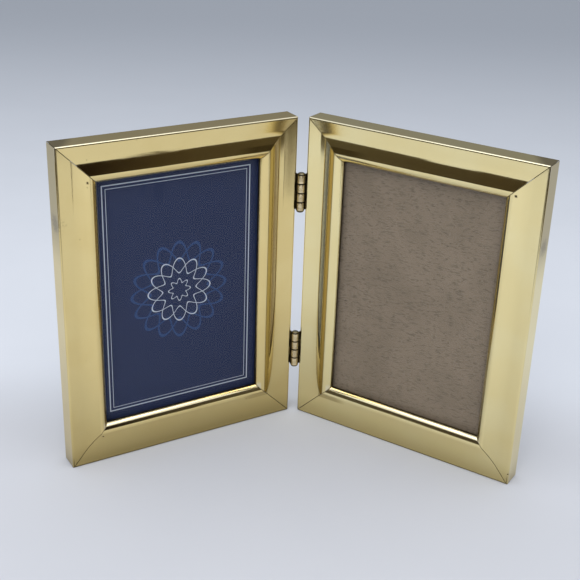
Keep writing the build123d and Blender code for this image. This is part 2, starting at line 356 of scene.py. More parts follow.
class NodeSheet:
    """A node tree being drawn up, with short ways to add nodes and join them."""

    def __init__(self, tree: bpy.types.NodeTree) -> None:
        """Empties the tree and keeps it."""
        tree.nodes.clear()
        self.tree = tree

    def add(
        self,
        kind: str,
        inputs: dict[str | int, Feed] | None = None,
        settings: dict[str, object] | None = None,
    ) -> bpy.types.Node:
        """Adds a node.

        Args:
            kind: Blender's name of the node type.
            inputs: A number, colour or socket for each input that isn't left as it is.
            settings: Properties of the node.

        Returns:
            The node.
        """
        node = self.tree.nodes.new(kind)
        for name, value in (settings or {}).items():
            setattr(node, name, value)
        for name, value in (inputs or {}).items():
            if isinstance(value, bpy.types.NodeSocket):
                self.tree.links.new(value, node.inputs[name])
            else:
                node.inputs[name].default_value = value
        return node

    def math(self, operation: str, *values: Feed) -> Socket:
        """The result of one sum on one or two values."""
        node = self.add("ShaderNodeMath", dict(enumerate(values)), {"operation": operation})
        return node.outputs[0]

    def product(self, *values: Feed) -> Socket:
        """The product of two or more values."""
        return reduce(lambda first, second: self.math("MULTIPLY", first, second), values)

    def largest(self, *values: Feed) -> Socket:
        """The largest of two or more values."""
        return reduce(lambda first, second: self.math("MAXIMUM", first, second), values)

    def vector(self, operation: str, first: Feed, second: Feed) -> bpy.types.Node:
        """A node that works on two vectors."""
        return self.add("ShaderNodeVectorMath", {0: first, 1: second}, {"operation": operation})

    def stretched(self, vector: Socket, scale: Point) -> Socket:
        """A vector with each of its parts scaled."""
        return self.vector("MULTIPLY", vector, scale).outputs[0]

    def noise(self, vector: Socket, scale: float, detail: float = 2.0) -> Socket:
        """Soft noise about 0.5 at a scale per metre."""
        node = self.add(
            "ShaderNodeTexNoise", {"Vector": vector, "Scale": scale, "Detail": detail}
        )
        return node.outputs["Fac"]

    def ramp(
        self, value: Feed, low: float, high: float, start: float = 0.0, end: float = 1.0
    ) -> Socket:
        """A smooth step from start to end as value goes from low to high."""
        inputs = {"Value": value, "From Min": low, "From Max": high, "To Min": start, "To Max": end}
        node = self.add("ShaderNodeMapRange", inputs, {"interpolation_type": "SMOOTHSTEP"})
        return node.outputs["Result"]

    def fade(self, value: Feed, reach: Reach, start: float = 0.0, end: float = 1.0) -> Socket:
        """A smooth step from start to end over a reach in millimetres."""
        return self.ramp(value, reach[0] * MM, reach[1] * MM, start, end)

    def band(self, value: Feed, rise: Reach, fall: Reach, top: float = 1.0) -> Socket:
        """A smooth step up to top over one reach and down again over another."""
        return self.product(self.fade(value, rise), self.fade(value, fall, top, 0.0))

    def line(self, value: Feed, middle: float, reach: Reach, depth: float) -> Socket:
        """A soft line along a middle in millimetres, fading over a reach to both its sides."""
        away = self.math("ABSOLUTE", self.math("SUBTRACT", value, middle * MM))
        return self.fade(away, reach, depth, 0.0)

    def blend(self, share: Feed, first: Feed, second: Feed) -> Socket:
        """The colour that lies a share of the way from first to second."""
        node = self.add("ShaderNodeMix", {0: share, 6: first, 7: second}, {"data_type": "RGBA"})
        return node.outputs[2]

    def bump(self, height: Socket, strength: float, distance: float) -> Socket:
        """A normal tilted by a height map."""
        inputs = {"Height": height, "Strength": strength, "Distance": distance}
        return self.add("ShaderNodeBump", inputs).outputs["Normal"]

    def where(self) -> Socket:
        """The piece's Object coordinates, in metres."""
        return self.add("ShaderNodeTexCoord").outputs["Object"]

    def turned(self, place: tuple[float, ...], turn: tuple[float, ...]) -> Socket:
        """Object coordinates measured from a place along turned axes."""
        inputs = {"Vector": self.where(), "Location": place, "Rotation": turn}
        return self.add("ShaderNodeMapping", inputs, {"vector_type": "TEXTURE"}).outputs[0]

    def parts(self, vector: Socket) -> tuple[Socket, Socket, Socket]:
        """The three parts of a vector."""
        node = self.add("ShaderNodeSeparateXYZ", {0: vector})
        return node.outputs[0], node.outputs[1], node.outputs[2]

    def shade_and_grime(self) -> Socket:
        """The piece's own share of grime and painted shade."""
        settings = {"attribute_name": SHADE_AND_GRIME}
        return self.add("ShaderNodeAttribute", settings=settings).outputs["Fac"]

    def show(self, shader: Socket) -> None:
        """Ends the material in a shader."""
        self.add("ShaderNodeOutputMaterial", {"Surface": shader})


def solid(colour: Colour) -> tuple[float, float, float, float]:
    """A colour with full alpha."""
    return (*colour, 1.0)


def new_material(name: str) -> tuple[bpy.types.Material, NodeSheet]:
    """An empty node material.

    Args:
        name: Name of the material.

    Returns:
        The material and its node sheet.
    """
    material = bpy.data.materials.new(name)
    material.use_nodes = True
    return material, NodeSheet(material.node_tree)


@dataclass(frozen=True)
class Stain:
    """A tarnished spot: its place in the row frame, its radius and its depth of tone."""

    place: Point
    radius: float
    strength: float = 1.0


@dataclass(frozen=True)
class PolishedBrass:
    """Lacquered brass polished along the rail, with soft waves, fine lines and tarnished specks.

    It is painted darker towards the foot, along the hem, up the outer walls and in the crook
    between cove and ridge near the hinge: painted shade. Painted shade darkens it down the lip,
    and it is dark in the mitres, where no polish reaches. Thin painted dark lines, painted
    reflections and painted shade, lie along the edge, at the foot, on the ridge near the hinge and
    on the beads of the outer stiles. Painted highlights pale the top edge and the low beads.

    A reach is a pair of distances in millimetres over which something fades: heights above the
    table, distances sideways from the hinge, or distances along the section.
    """

    name: str
    bright: Colour
    deep: Colour
    # shares of the painted shade towards the foot and up the outer walls
    foot_shade: float
    wall_shade: float
    moulding: Moulding
    stains: tuple[Stain, ...] = ()
    # tone of the painted shade
    shade_tone: Colour = (0.42, 0.325, 0.128)
    # tone of the painted highlights
    painted_highlight: Colour = (1.0, 0.95, 0.76)
    # tone of the tarnish, and of the painted shade and painted dark lines
    tarnish_and_shade: Colour = (0.045, 0.030, 0.013)
    roughness: float = 0.075
    line_roughness: float = 0.035
    tarnish_and_shade_roughness: float = 0.35
    wave_depth: float = 0.03
    speck_depth: float = 0.5
    # heights, reaches and shares of the painted shade: foot, hem, bead, outer walls and crook
    shade_height: float = 70.0
    hem_height: float = 12.0
    hem_shade: float = 0.35
    bead_foot_shade: float = 0.15
    wall_top_shade: float = 0.97
    wall_fade: Reach = (98.0, 120.0)
    wall_reach: Reach = (94.0, 99.0)
    crook_shade: float = 0.8
    crook_reach: Reach = (20.0, 30.0)
    # painted dark lines: on the ridge near the hinge, along the top edge and the foot, and on the
    # outer stiles' beads
    ridge_line: float = 0.55
    ridge_reach: Reach = (18.0, 26.0)
    edge_line: float = 0.75
    edge_fade: Reach = (70.0, 145.0)
    foot_line: float = 0.8
    foot_fade: Reach = (2.0, 6.0)
    bead_line: float = 0.7
    bead_shade: float = 0.35
    stile_reach: Reach = (78.0, 81.0)
    stile_foot: Reach = (16.5, 19.0)
    stile_head: Reach = (134.0, 136.5)
    # painted highlights on the top edge and the low beads
    edge_highlight: float = 0.75
    edge_highlight_fade: Reach = (145.0, 149.0)
    bead_highlight: float = 0.525
    bead_highlight_fade: Reach = (18.2, 20.5)
    # painted shade down the lip; the mitres' dark joints
    lip_line: float = 0.93
    mitre_line: float = 0.85

    def stain_mask(self, sheet: NodeSheet, where: Socket) -> Socket:
        """How tarnished the surface is, from 0 to 1.

        Scattered specks are the middles of a few cells of a fine Voronoi pattern. Each named
        stain is a ragged spot: 1 at its place, falling to 0 at its radius.

        Args:
            sheet: The material's node sheet.
            where: Object coordinates.

        Returns:
            The mask.
        """
        cells = sheet.add(
            "ShaderNodeTexVoronoi", {"Vector": where, "Scale": 260.0, "Randomness": 1.0}
        )
        chosen = sheet.ramp(sheet.parts(cells.outputs["Color"])[0], 0.93, 0.95)
        spot = sheet.ramp(cells.outputs["Distance"], 0.04, 0.09, 1.0, 0.0)
        mask = sheet.product(spot, chosen, self.speck_depth)
        ragged = sheet.math("MULTIPLY", sheet.noise(where, 1100.0, 4.0), 1.6)
        for stain in self.stains:
            place = tuple(c * MM for c in stain.place)
            away = sheet.vector("DISTANCE", where, place).outputs["Value"]
            share = sheet.math("MULTIPLY", away, 1.0 / (stain.radius * MM))
            torn = sheet.math("ADD", share, ragged)
            mask = sheet.largest(mask, sheet.ramp(torn, 1.1, 1.9, stain.strength, 0.0))
        return mask

    def film_and_shade(self, sheet: NodeSheet, where: Socket, across: Socket) -> Socket:
        """How much painted shade darkens the brass.

        It is (1 - z / height)^2 towards the foot and more along the hem, up the outer walls, most
        at their top, and in the crook between cove and ridge near the hinge: all of it painted
        shade.

        Args:
            sheet: The material's node sheet.
            where: Object coordinates.
            across: Distance along the section, in metres.

        Returns:
            The share of the painted shade's tone.
        """
        x, _, z = sheet.parts(where)
        aside = sheet.math("ABSOLUTE", x)
        edge, ridge = self.moulding.wall_run, self.moulding.ridge_run
        left = sheet.math("ADD", sheet.math("MULTIPLY", z, -1.0 / (self.shade_height * MM)), 1.0)
        low = sheet.math("POWER", sheet.math("MAXIMUM", left, 0.0), 2.0)
        hem = sheet.fade(z, (0.0, self.hem_height), self.hem_shade, 0.0)
        low = sheet.math("ADD", sheet.math("MULTIPLY", low, self.foot_shade), hem)
        low = sheet.product(
            sheet.math("MINIMUM", low, 1.0),
            sheet.fade(across, (ridge - 0.6, ridge + 0.4), 1.0, self.bead_foot_shade),
        )
        wall = sheet.product(
            sheet.fade(across, (edge, edge + 0.6), 1.0, 0.0),
            sheet.fade(z, self.wall_fade, self.wall_shade, self.wall_top_shade),
            sheet.fade(aside, self.wall_reach),
        )
        crook = sheet.product(
            sheet.band(across, (ridge - 3.0, ridge - 2.4), (ridge - 0.4, ridge - 0.1)),
            sheet.fade(aside, self.crook_reach, self.crook_shade, 0.0),
        )
        return sheet.largest(low, wall, crook)

    def rubbed_and_highlit(self, sheet: NodeSheet, where: Socket, across: Socket) -> Socket:
        """Painted highlights that pale the brass: the top edge and the low bead.

        Args:
            sheet: The material's node sheet.
            where: Object coordinates.
            across: Distance along the section, in metres.

        Returns:
            The share of the painted highlights' tone.
        """
        _, _, z = sheet.parts(where)
        wall, edge = self.moulding.wall_run, self.moulding.edge_run
        ridge, foot = self.moulding.ridge_run, self.moulding.lip_run[0]
        corner = sheet.product(
            sheet.band(across, (wall, wall + 0.2), (edge - 0.6, edge - 0.4), self.edge_highlight),
            sheet.fade(z, self.edge_highlight_fade),
        )
        bead = sheet.product(
            sheet.band(
                across, (ridge + 1.4, ridge + 2.1), (foot - 0.1, foot + 0.1), self.bead_highlight
            ),
            sheet.fade(z, self.bead_highlight_fade, 1.0, 0.0),
        )
        return sheet.largest(corner, bead)

    def bead_lines(self, sheet: NodeSheet, where: Socket, across: Socket) -> Socket:
        """Painted dark lines, painted reflections and shade, along the bead of an outer stile: one
        half way over it, one at its foot, over a painted shade that deepens across the bead.

        Args:
            sheet: The material's node sheet.
            where: Object coordinates.
            across: Distance along the section, in metres.

        Returns:
            The mask.
        """
        x, _, z = sheet.parts(where)
        ridge, foot = self.moulding.ridge_run, self.moulding.lip_run[0]
        lines = sheet.largest(
            sheet.line(across, (ridge + foot) / 2, (0.15, 0.4), self.bead_line),
            sheet.fade(across, (foot - 1.1, foot - 0.6), 0.0, self.bead_line),
            sheet.fade(across, (ridge, foot), 0.0, self.bead_shade),
        )
        return sheet.product(
            lines,
            sheet.fade(across, (foot, foot + 0.2), 1.0, 0.0),
            sheet.band(z, self.stile_foot, self.stile_head),
            sheet.fade(sheet.math("ABSOLUTE", x), self.stile_reach),
        )

    def painted_dark_lines(self, sheet: NodeSheet, where: Socket, across: Socket) -> Socket:
        """Painted dark lines, painted reflections and shade: by the edge at the top and the foot,
        on the ridge and on the beads.

        Args:
            sheet: The material's node sheet.
            where: Object coordinates.
            across: Distance along the section, in metres.

        Returns:
            The mask.
        """
        x, _, z = sheet.parts(where)
        # painted shade along the ridge near the hinge
        by_hinge = sheet.product(
            sheet.line(across, self.moulding.ridge_run, (0.1, 0.3), self.ridge_line),
            sheet.fade(sheet.math("ABSOLUTE", x), self.ridge_reach, 1.0, 0.0),
        )
        # painted dark reflection along the top edge and painted shade along the foot
        level = sheet.largest(
            sheet.fade(z, self.edge_fade), sheet.fade(z, self.foot_fade, self.foot_line, 0.0)
        )
        by_edge = sheet.product(
            sheet.line(across, self.moulding.edge_run - 0.25, (0.14, 0.28), self.edge_line), level
        )
        return sheet.largest(by_edge, by_hinge, self.bead_lines(sheet, where, across))

    def material(self) -> bpy.types.Material:
        """Builds the finish.

        Returns:
            The material.
        """
        material, sheet = new_material(self.name)
        where = sheet.where()
        run = sheet.add("ShaderNodeUVMap", settings={"uv_map": UV_RUN}).outputs["UV"]
        across = sheet.parts(run)[1]
        lines = sheet.noise(sheet.stretched(run, (60.0, 9000.0, 1.0)), 1.0, 3.0)
        cloud = sheet.noise(where, 38.0, 3.0)
        clean = sheet.blend(sheet.ramp(cloud, 0.35, 0.65), solid(self.bright), solid(self.deep))
        # painted shade: darker towards the foot, along the hem, up the outer walls and in the crook
        metal = sheet.blend(self.film_and_shade(sheet, where, across), clean, solid(self.shade_tone))
        # painted highlights: the top edge and the low beads are paled
        metal = sheet.blend(self.rubbed_and_highlit(sheet, where, across), metal, solid(self.painted_highlight))
        start, end = self.moulding.lip_run
        # tarnished specks and stains, painted shade down the lip, painted dark lines and dark mitre
        # joints
        mask = sheet.largest(
            self.stain_mask(sheet, where),
            sheet.band(across, (start, start + 0.3), (end - 0.3, end), self.lip_line),
            self.painted_dark_lines(sheet, where, across),
            sheet.math("MULTIPLY", sheet.shade_and_grime(), self.mitre_line),
        )
        gloss = sheet.ramp(lines, 0.3, 0.75, self.roughness, self.roughness + self.line_roughness)
        dull = sheet.math("ADD", gloss, sheet.math("MULTIPLY", mask, self.tarnish_and_shade_roughness))
        shader = sheet.add(
            "ShaderNodeBsdfPrincipled",
            {
                "Base Color": sheet.blend(mask, metal, solid(self.tarnish_and_shade)),
                "Metallic": 1.0,
                "Roughness": dull,
                "Normal": sheet.bump(sheet.noise(where, 70.0, 1.0), 1.0, self.wave_depth * MM),
                "Coat Weight": 0.15,
                "Coat Roughness": 0.04,
            },
        )
        sheet.show(shader.outputs[0])
        return material


@dataclass(frozen=True)
class WornBrass:
    """Brass of small fittings: brighter where it is rubbed, darker in a thin film of age."""

    name: str
    rubbed_and_highlit: Colour
    aged: Colour
    roughness: float = 0.2
    # tone of the painted shade at the hinge leaves' roots and knuckle sides, and of their dark
    # joints
    shade_and_grime_tone: Colour = (0.035, 0.025, 0.012)
    film_roughness: float = 0.14
    shade_and_grime_roughness: float = 0.35
    grain_depth: float = 0.04

    def material(self) -> bpy.types.Material:
        """Builds the finish.

        Returns:
            The material.
        """
        material, sheet = new_material(self.name)
        where = sheet.where()
        film_and_shade = sheet.ramp(sheet.noise(where, 420.0, 4.0), 0.36, 0.66)
        grain = sheet.noise(where, 5200.0, 2.0)
        # on the hinge leaves this share paints shade at the roots and the knuckles' sides, and
        # darkens the knuckles' ends as dark joints
        shade_and_grime = sheet.shade_and_grime()
        metal = sheet.blend(film_and_shade, solid(self.rubbed_and_highlit), solid(self.aged))
        colour = sheet.blend(shade_and_grime, metal, solid(self.shade_and_grime_tone))
        aged = sheet.math("MULTIPLY", film_and_shade, self.film_roughness)
        shaded_and_grimy = sheet.math("MULTIPLY", shade_and_grime, self.shade_and_grime_roughness)
        rough = sheet.math("ADD", sheet.math("ADD", aged, self.roughness), shaded_and_grimy)
        shader = sheet.add(
            "ShaderNodeBsdfPrincipled",
            {
                "Base Color": colour,
                "Metallic": 1.0,
                "Roughness": rough,
                "Normal": sheet.bump(grain, 0.25, self.grain_depth * MM),
            },
        )
        sheet.show(shader.outputs[0])
        return material


@dataclass(frozen=True)
class ZincSteel:
    """Zinc plated steel with a faint spangle."""

    name: str = "zinc_plated_steel"
    pale: Colour = (0.60, 0.61, 0.62)
    grey: Colour = (0.45, 0.46, 0.48)

    def material(self) -> bpy.types.Material:
        """Builds the finish.

        Returns:
            The material.
        """
        material, sheet = new_material(self.name)
        where = sheet.where()
        cells = sheet.add("ShaderNodeTexVoronoi", {"Vector": where, "Scale": 400.0})
        spangle = sheet.parts(cells.outputs["Color"])[0]
        rough = sheet.ramp(spangle, 0.0, 1.0, 0.28, 0.45)
        shader = sheet.add(
            "ShaderNodeBsdfPrincipled",
            {
                "Base Color": sheet.blend(spangle, solid(self.pale), solid(self.grey)),
                "Metallic": 1.0,
                "Roughness": rough,
            },
        )
        sheet.show(shader.outputs[0])
        return material


@dataclass(frozen=True)
class ClearGlass:
    """Float glass that lets the lamps through, with a trace of dust on its face.

    Its refractive index is set below that of real glass, which keeps its reflections faint.
    """

    name: str = "float_glass"
    tint: Colour = (0.97, 0.985, 0.975)
    index: float = 1.18
    dust: float = 0.03

    def material(self) -> bpy.types.Material:
        """Builds the finish.

        Returns:
            The material.
        """
        material, sheet = new_material(self.name)
        dust = sheet.ramp(sheet.noise(sheet.where(), 90.0, 5.0), 0.45, 0.8, 0.0, self.dust)
        glass = sheet.add(
            "ShaderNodeBsdfPrincipled",
            {
                "Base Color": solid(self.tint),
                "Roughness": dust,
                "IOR": self.index,
                "Transmission Weight": 1.0,
            },
        )
        clear = sheet.add("ShaderNodeBsdfTransparent", {"Color": solid(self.tint)})
        path = sheet.add("ShaderNodeLightPath")
        passing = sheet.math(
            "MAXIMUM", path.outputs["Is Shadow Ray"], path.outputs["Is Diffuse Ray"]
        )
        shader = sheet.add(
            "ShaderNodeMixShader", {0: passing, 1: glass.outputs[0], 2: clear.outputs[0]}
        )
        sheet.show(shader.outputs[0])
        return material


@dataclass(frozen=True)
class Keyline:
    """A thin printed rectangle: its inset from the card's edge and the width of its line."""

    inset: float
    line: float


@dataclass(frozen=True)
class PetalRing:
    """A printed ring of petals: its radius, the swing of it, its petals and its line's width."""

    radius: float
    swing: float
    petals: int
    line: float


@dataclass(frozen=True)
class PrintedCard:
    """Navy card printed with a pale keyline border and a turned rosette in mid blue and white."""

    place: tuple[float, ...]
    turn: tuple[float, ...]
    width: float
    height: float
    name: str = "printed_card"
    ground: Colour = (0.0275, 0.0365, 0.0905)
    shade: Colour = (0.0267, 0.0354, 0.0880)
    pale: Colour = (0.60, 0.64, 0.74)
    blue: Colour = (0.038, 0.075, 0.205)
    pale_ink: float = 0.9
    blue_ink: float = 0.8
    keylines: tuple[Keyline, ...] = (Keyline(9.0, 0.5), Keyline(10.6, 0.25))
    blue_rings: tuple[PetalRing, ...] = (
        PetalRing(19.0, 4.5, 8, 1.5), PetalRing(19.0, -4.5, 8, 1.5),
    )
    pale_rings: tuple[PetalRing, ...] = (
        PetalRing(12.0, 3.6, 6, 0.6), PetalRing(12.0, -3.6, 6, 0.6), PetalRing(4.5, 1.0, 8, 0.5),
    )

    def stroke(self, sheet: NodeSheet, away: Socket, line: float) -> Socket:
        """A printed line where a distance is nearly nothing, soft at both its sides."""
        return sheet.line(away, 0.0, (0.35 * line, 0.65 * line), 1.0)

    def border(self, sheet: NodeSheet, x: Socket, y: Socket, keyline: Keyline) -> Socket:
        """A thin rectangle, drawn where the distance past its nearest side is nothing.

        Args:
            sheet: The material's node sheet.
            x: Distance from the card's middle, across, in metres.
            y: Distance from the card's middle, upwards, in metres.
            keyline: The rectangle.

        Returns:
            The mask.
        """
        half_width = (self.width / 2 - keyline.inset) * MM
        half_height = (self.height / 2 - keyline.inset) * MM
        past_x = sheet.math("SUBTRACT", sheet.math("ABSOLUTE", x), half_width)
        past_y = sheet.math("SUBTRACT", sheet.math("ABSOLUTE", y), half_height)
        return self.stroke(sheet, sheet.math("MAXIMUM", past_x, past_y), keyline.line)

    def petals(
        self, sheet: NodeSheet, distance: Socket, angle: Socket, ring: PetalRing
    ) -> Socket:
        """A ring whose radius waves as it goes round: r = radius + swing * cos(petals * angle).

        Args:
            sheet: The material's node sheet.
            distance: Distance from the rosette's middle, in metres.
            angle: Angle about the rosette's middle.
            ring: The ring.

        Returns:
            The mask.
        """
        wave = sheet.math("COSINE", sheet.math("MULTIPLY", angle, float(ring.petals)))
        path = sheet.math("ADD", sheet.math("MULTIPLY", wave, ring.swing * MM), ring.radius * MM)
        return self.stroke(sheet, sheet.math("SUBTRACT", distance, path), ring.line)

    def material(self) -> bpy.types.Material:
        """Builds the finish.

        Returns:
            The material.
        """
        material, sheet = new_material(self.name)
        flat = sheet.turned(self.place, self.turn)
        x, y, _ = sheet.parts(flat)
        squares = sheet.math("ADD", sheet.math("MULTIPLY", x, x), sheet.math("MULTIPLY", y, y))
        distance, angle = sheet.math("SQRT", squares), sheet.math("ARCTAN2", y, x)
        blue = [self.petals(sheet, distance, angle, ring) for ring in self.blue_rings]
        pale = [self.petals(sheet, distance, angle, ring) for ring in self.pale_rings]
        pale += [self.border(sheet, x, y, keyline) for keyline in self.keylines]
        mottle = sheet.ramp(sheet.noise(flat, 240.0, 4.0), 0.35, 0.7)
        paper = sheet.blend(mottle, solid(self.ground), solid(self.shade))
        blue_share = sheet.math("MULTIPLY", sheet.largest(*blue), self.blue_ink)
        pale_share = sheet.math("MULTIPLY", sheet.largest(*pale), self.pale_ink)
        inked = sheet.blend(blue_share, paper, solid(self.blue))
        tooth = sheet.noise(flat, 2600.0, 3.0)
        shader = sheet.add(
            "ShaderNodeBsdfPrincipled",
            {
                "Base Color": sheet.blend(pale_share, inked, solid(self.pale)),
                "Roughness": sheet.ramp(tooth, 0.2, 0.8, 0.5, 0.68),
                "Specular IOR Level": 0.08,
            },
        )
        sheet.show(shader.outputs[0])
        return material


@dataclass(frozen=True)
class FibreBoard:
    """Pulp board: a mottled ground with short dark fibres that lie level."""

    name: str
    place: tuple[float, ...]
    turn: tuple[float, ...]
    light: Colour
    dark: Colour
    fleck: Colour
    strand_share: float = 0.5
    dot_share: float = 0.85
    nap_depth: float = 0.08

    def material(self) -> bpy.types.Material:
        """Builds the finish.

        Returns:
            The material.
        """
        material, sheet = new_material(self.name)
        flat = sheet.turned(self.place, self.turn)
        cloud = sheet.noise(flat, 60.0, 3.0)
        long = sheet.noise(sheet.stretched(flat, (450.0, 1900.0, 900.0)), 1.0, 2.0)
        short = sheet.noise(sheet.stretched(flat, (760.0, 1300.0, 900.0)), 1.0, 1.0)
        ground = sheet.blend(sheet.ramp(cloud, 0.3, 0.7), solid(self.light), solid(self.dark))
        strand = sheet.math("MULTIPLY", sheet.ramp(long, 0.55, 0.66), self.strand_share)
        dot = sheet.math("MULTIPLY", sheet.ramp(short, 0.70, 0.75), self.dot_share)
        nap = sheet.math("ADD", long, sheet.math("MULTIPLY", short, 0.6))
        shader = sheet.add(
            "ShaderNodeBsdfPrincipled",
            {
                "Base Color": sheet.blend(sheet.largest(strand, dot), ground, solid(self.fleck)),
                "Roughness": sheet.ramp(cloud, 0.2, 0.8, 0.8, 0.95),
                "Normal": sheet.bump(nap, 0.35, self.nap_depth * MM),
            },
        )
        sheet.show(shader.outputs[0])
        return material


@dataclass(frozen=True)
class Velour:
    """Short-pile cloth whose nap lies in soft strokes."""

    place: tuple[float, ...]
    turn: tuple[float, ...]
    name: str = "navy_velour"
    deep: Colour = (0.014, 0.016, 0.036)
    brushed: Colour = (0.032, 0.036, 0.075)
    glow: Colour = (0.32, 0.36, 0.60)
    pile_depth: float = 0.18

    def material(self) -> bpy.types.Material:
        """Builds the finish.

        Returns:
            The material.
        """
        material, sheet = new_material(self.name)
        flat = sheet.turned(self.place, self.turn)
        stroke = sheet.noise(sheet.stretched(flat, (46.0, 15.0, 10.0)), 1.0, 4.0)
        pile = sheet.noise(flat, 3400.0, 3.0)
        tuft = sheet.noise(flat, 900.0, 3.0)
        brushed = sheet.ramp(stroke, 0.4, 0.62)
        lie = sheet.math("ADD", brushed, sheet.ramp(pile, 0.3, 0.8, -0.4, 0.4))
        height = sheet.math("ADD", pile, sheet.math("MULTIPLY", tuft, 0.7))
        shader = sheet.add(
            "ShaderNodeBsdfPrincipled",
            {
                "Base Color": sheet.blend(lie, solid(self.deep), solid(self.brushed)),
                "Roughness": sheet.ramp(pile, 0.2, 0.8, 0.88, 1.0),
                "Normal": sheet.bump(height, 0.6, self.pile_depth * MM),
                "Sheen Weight": 0.55,
                "Sheen Roughness": 0.4,
                "Sheen Tint": solid(self.glow),
            },
        )
        sheet.show(shader.outputs[0])
        return material


class Pen:
    """Draws an outline by straight runs and arcs, keeping its points and headings."""

    def __init__(self, start: tuple[float, float], heading: float) -> None:
        """Puts the pen down at start with a heading in degrees."""
        self.points = [np.array([start], float)]
        self.headings = [np.array([radians(heading)])]

    def line(self, length: float, steps: int) -> None:
        """Runs straight on, with steps that close up towards both ends.

        Args:
            length: Length of the run.
            steps: Number of steps.
        """
        heading = self.headings[-1][-1]
        along = length * (1 - np.cos(np.linspace(0, pi, steps + 1)[1:])) / 2
        way = np.array([cos(heading), sin(heading)])
        self.points.append(self.points[-1][-1] + along[:, None] * way)
        self.headings.append(np.full(steps, heading))

    def arc(self, radius: float, sweep: float, steps: int) -> None:
        """Turns through sweep degrees, to the left where it is positive.

        The centre lies a radius to the side, and a point is centre + r (sin h, -cos h) on a left
        turn as the heading h goes through the sweep.

        Args:
            radius: Radius of the turn.
            sweep: Angle of the turn in degrees.
            steps: Number of steps.
        """
        side = radius if sweep > 0 else -radius
        first = self.headings[-1][-1]
        heading = first + radians(sweep) * np.linspace(0, 1, steps + 1)[1:]
        centre = self.points[-1][-1] + side * np.array([-sin(first), cos(first)])
        self.points.append(centre + side * np.stack([np.sin(heading), -np.cos(heading)], axis=1))
        self.headings.append(heading)

    def outline(self) -> tuple[Array, Array]:
        """The points in order and the normals to the right of the way."""
        heading = np.concatenate(self.headings)
        return np.concatenate(self.points), np.stack([np.sin(heading), -np.cos(heading)], axis=1)


@dataclass(frozen=True)
class RailRun:
    """How a rail lies in its frame: its corner, its way inwards and its way along, in u and z."""

    corner: tuple[float, float]
    inward: tuple[float, float]
    along: tuple[float, float]
    length: float

    def spot(self, inset: Array | float, run: Array | float) -> tuple[Array, Array]:
        """Local u and z at an inset from the outer edge and a distance along."""
        u = self.corner[0] + self.inward[0] * inset + self.along[0] * run
        z = self.corner[1] + self.inward[1] * inset + self.along[1] * run
        return u, z


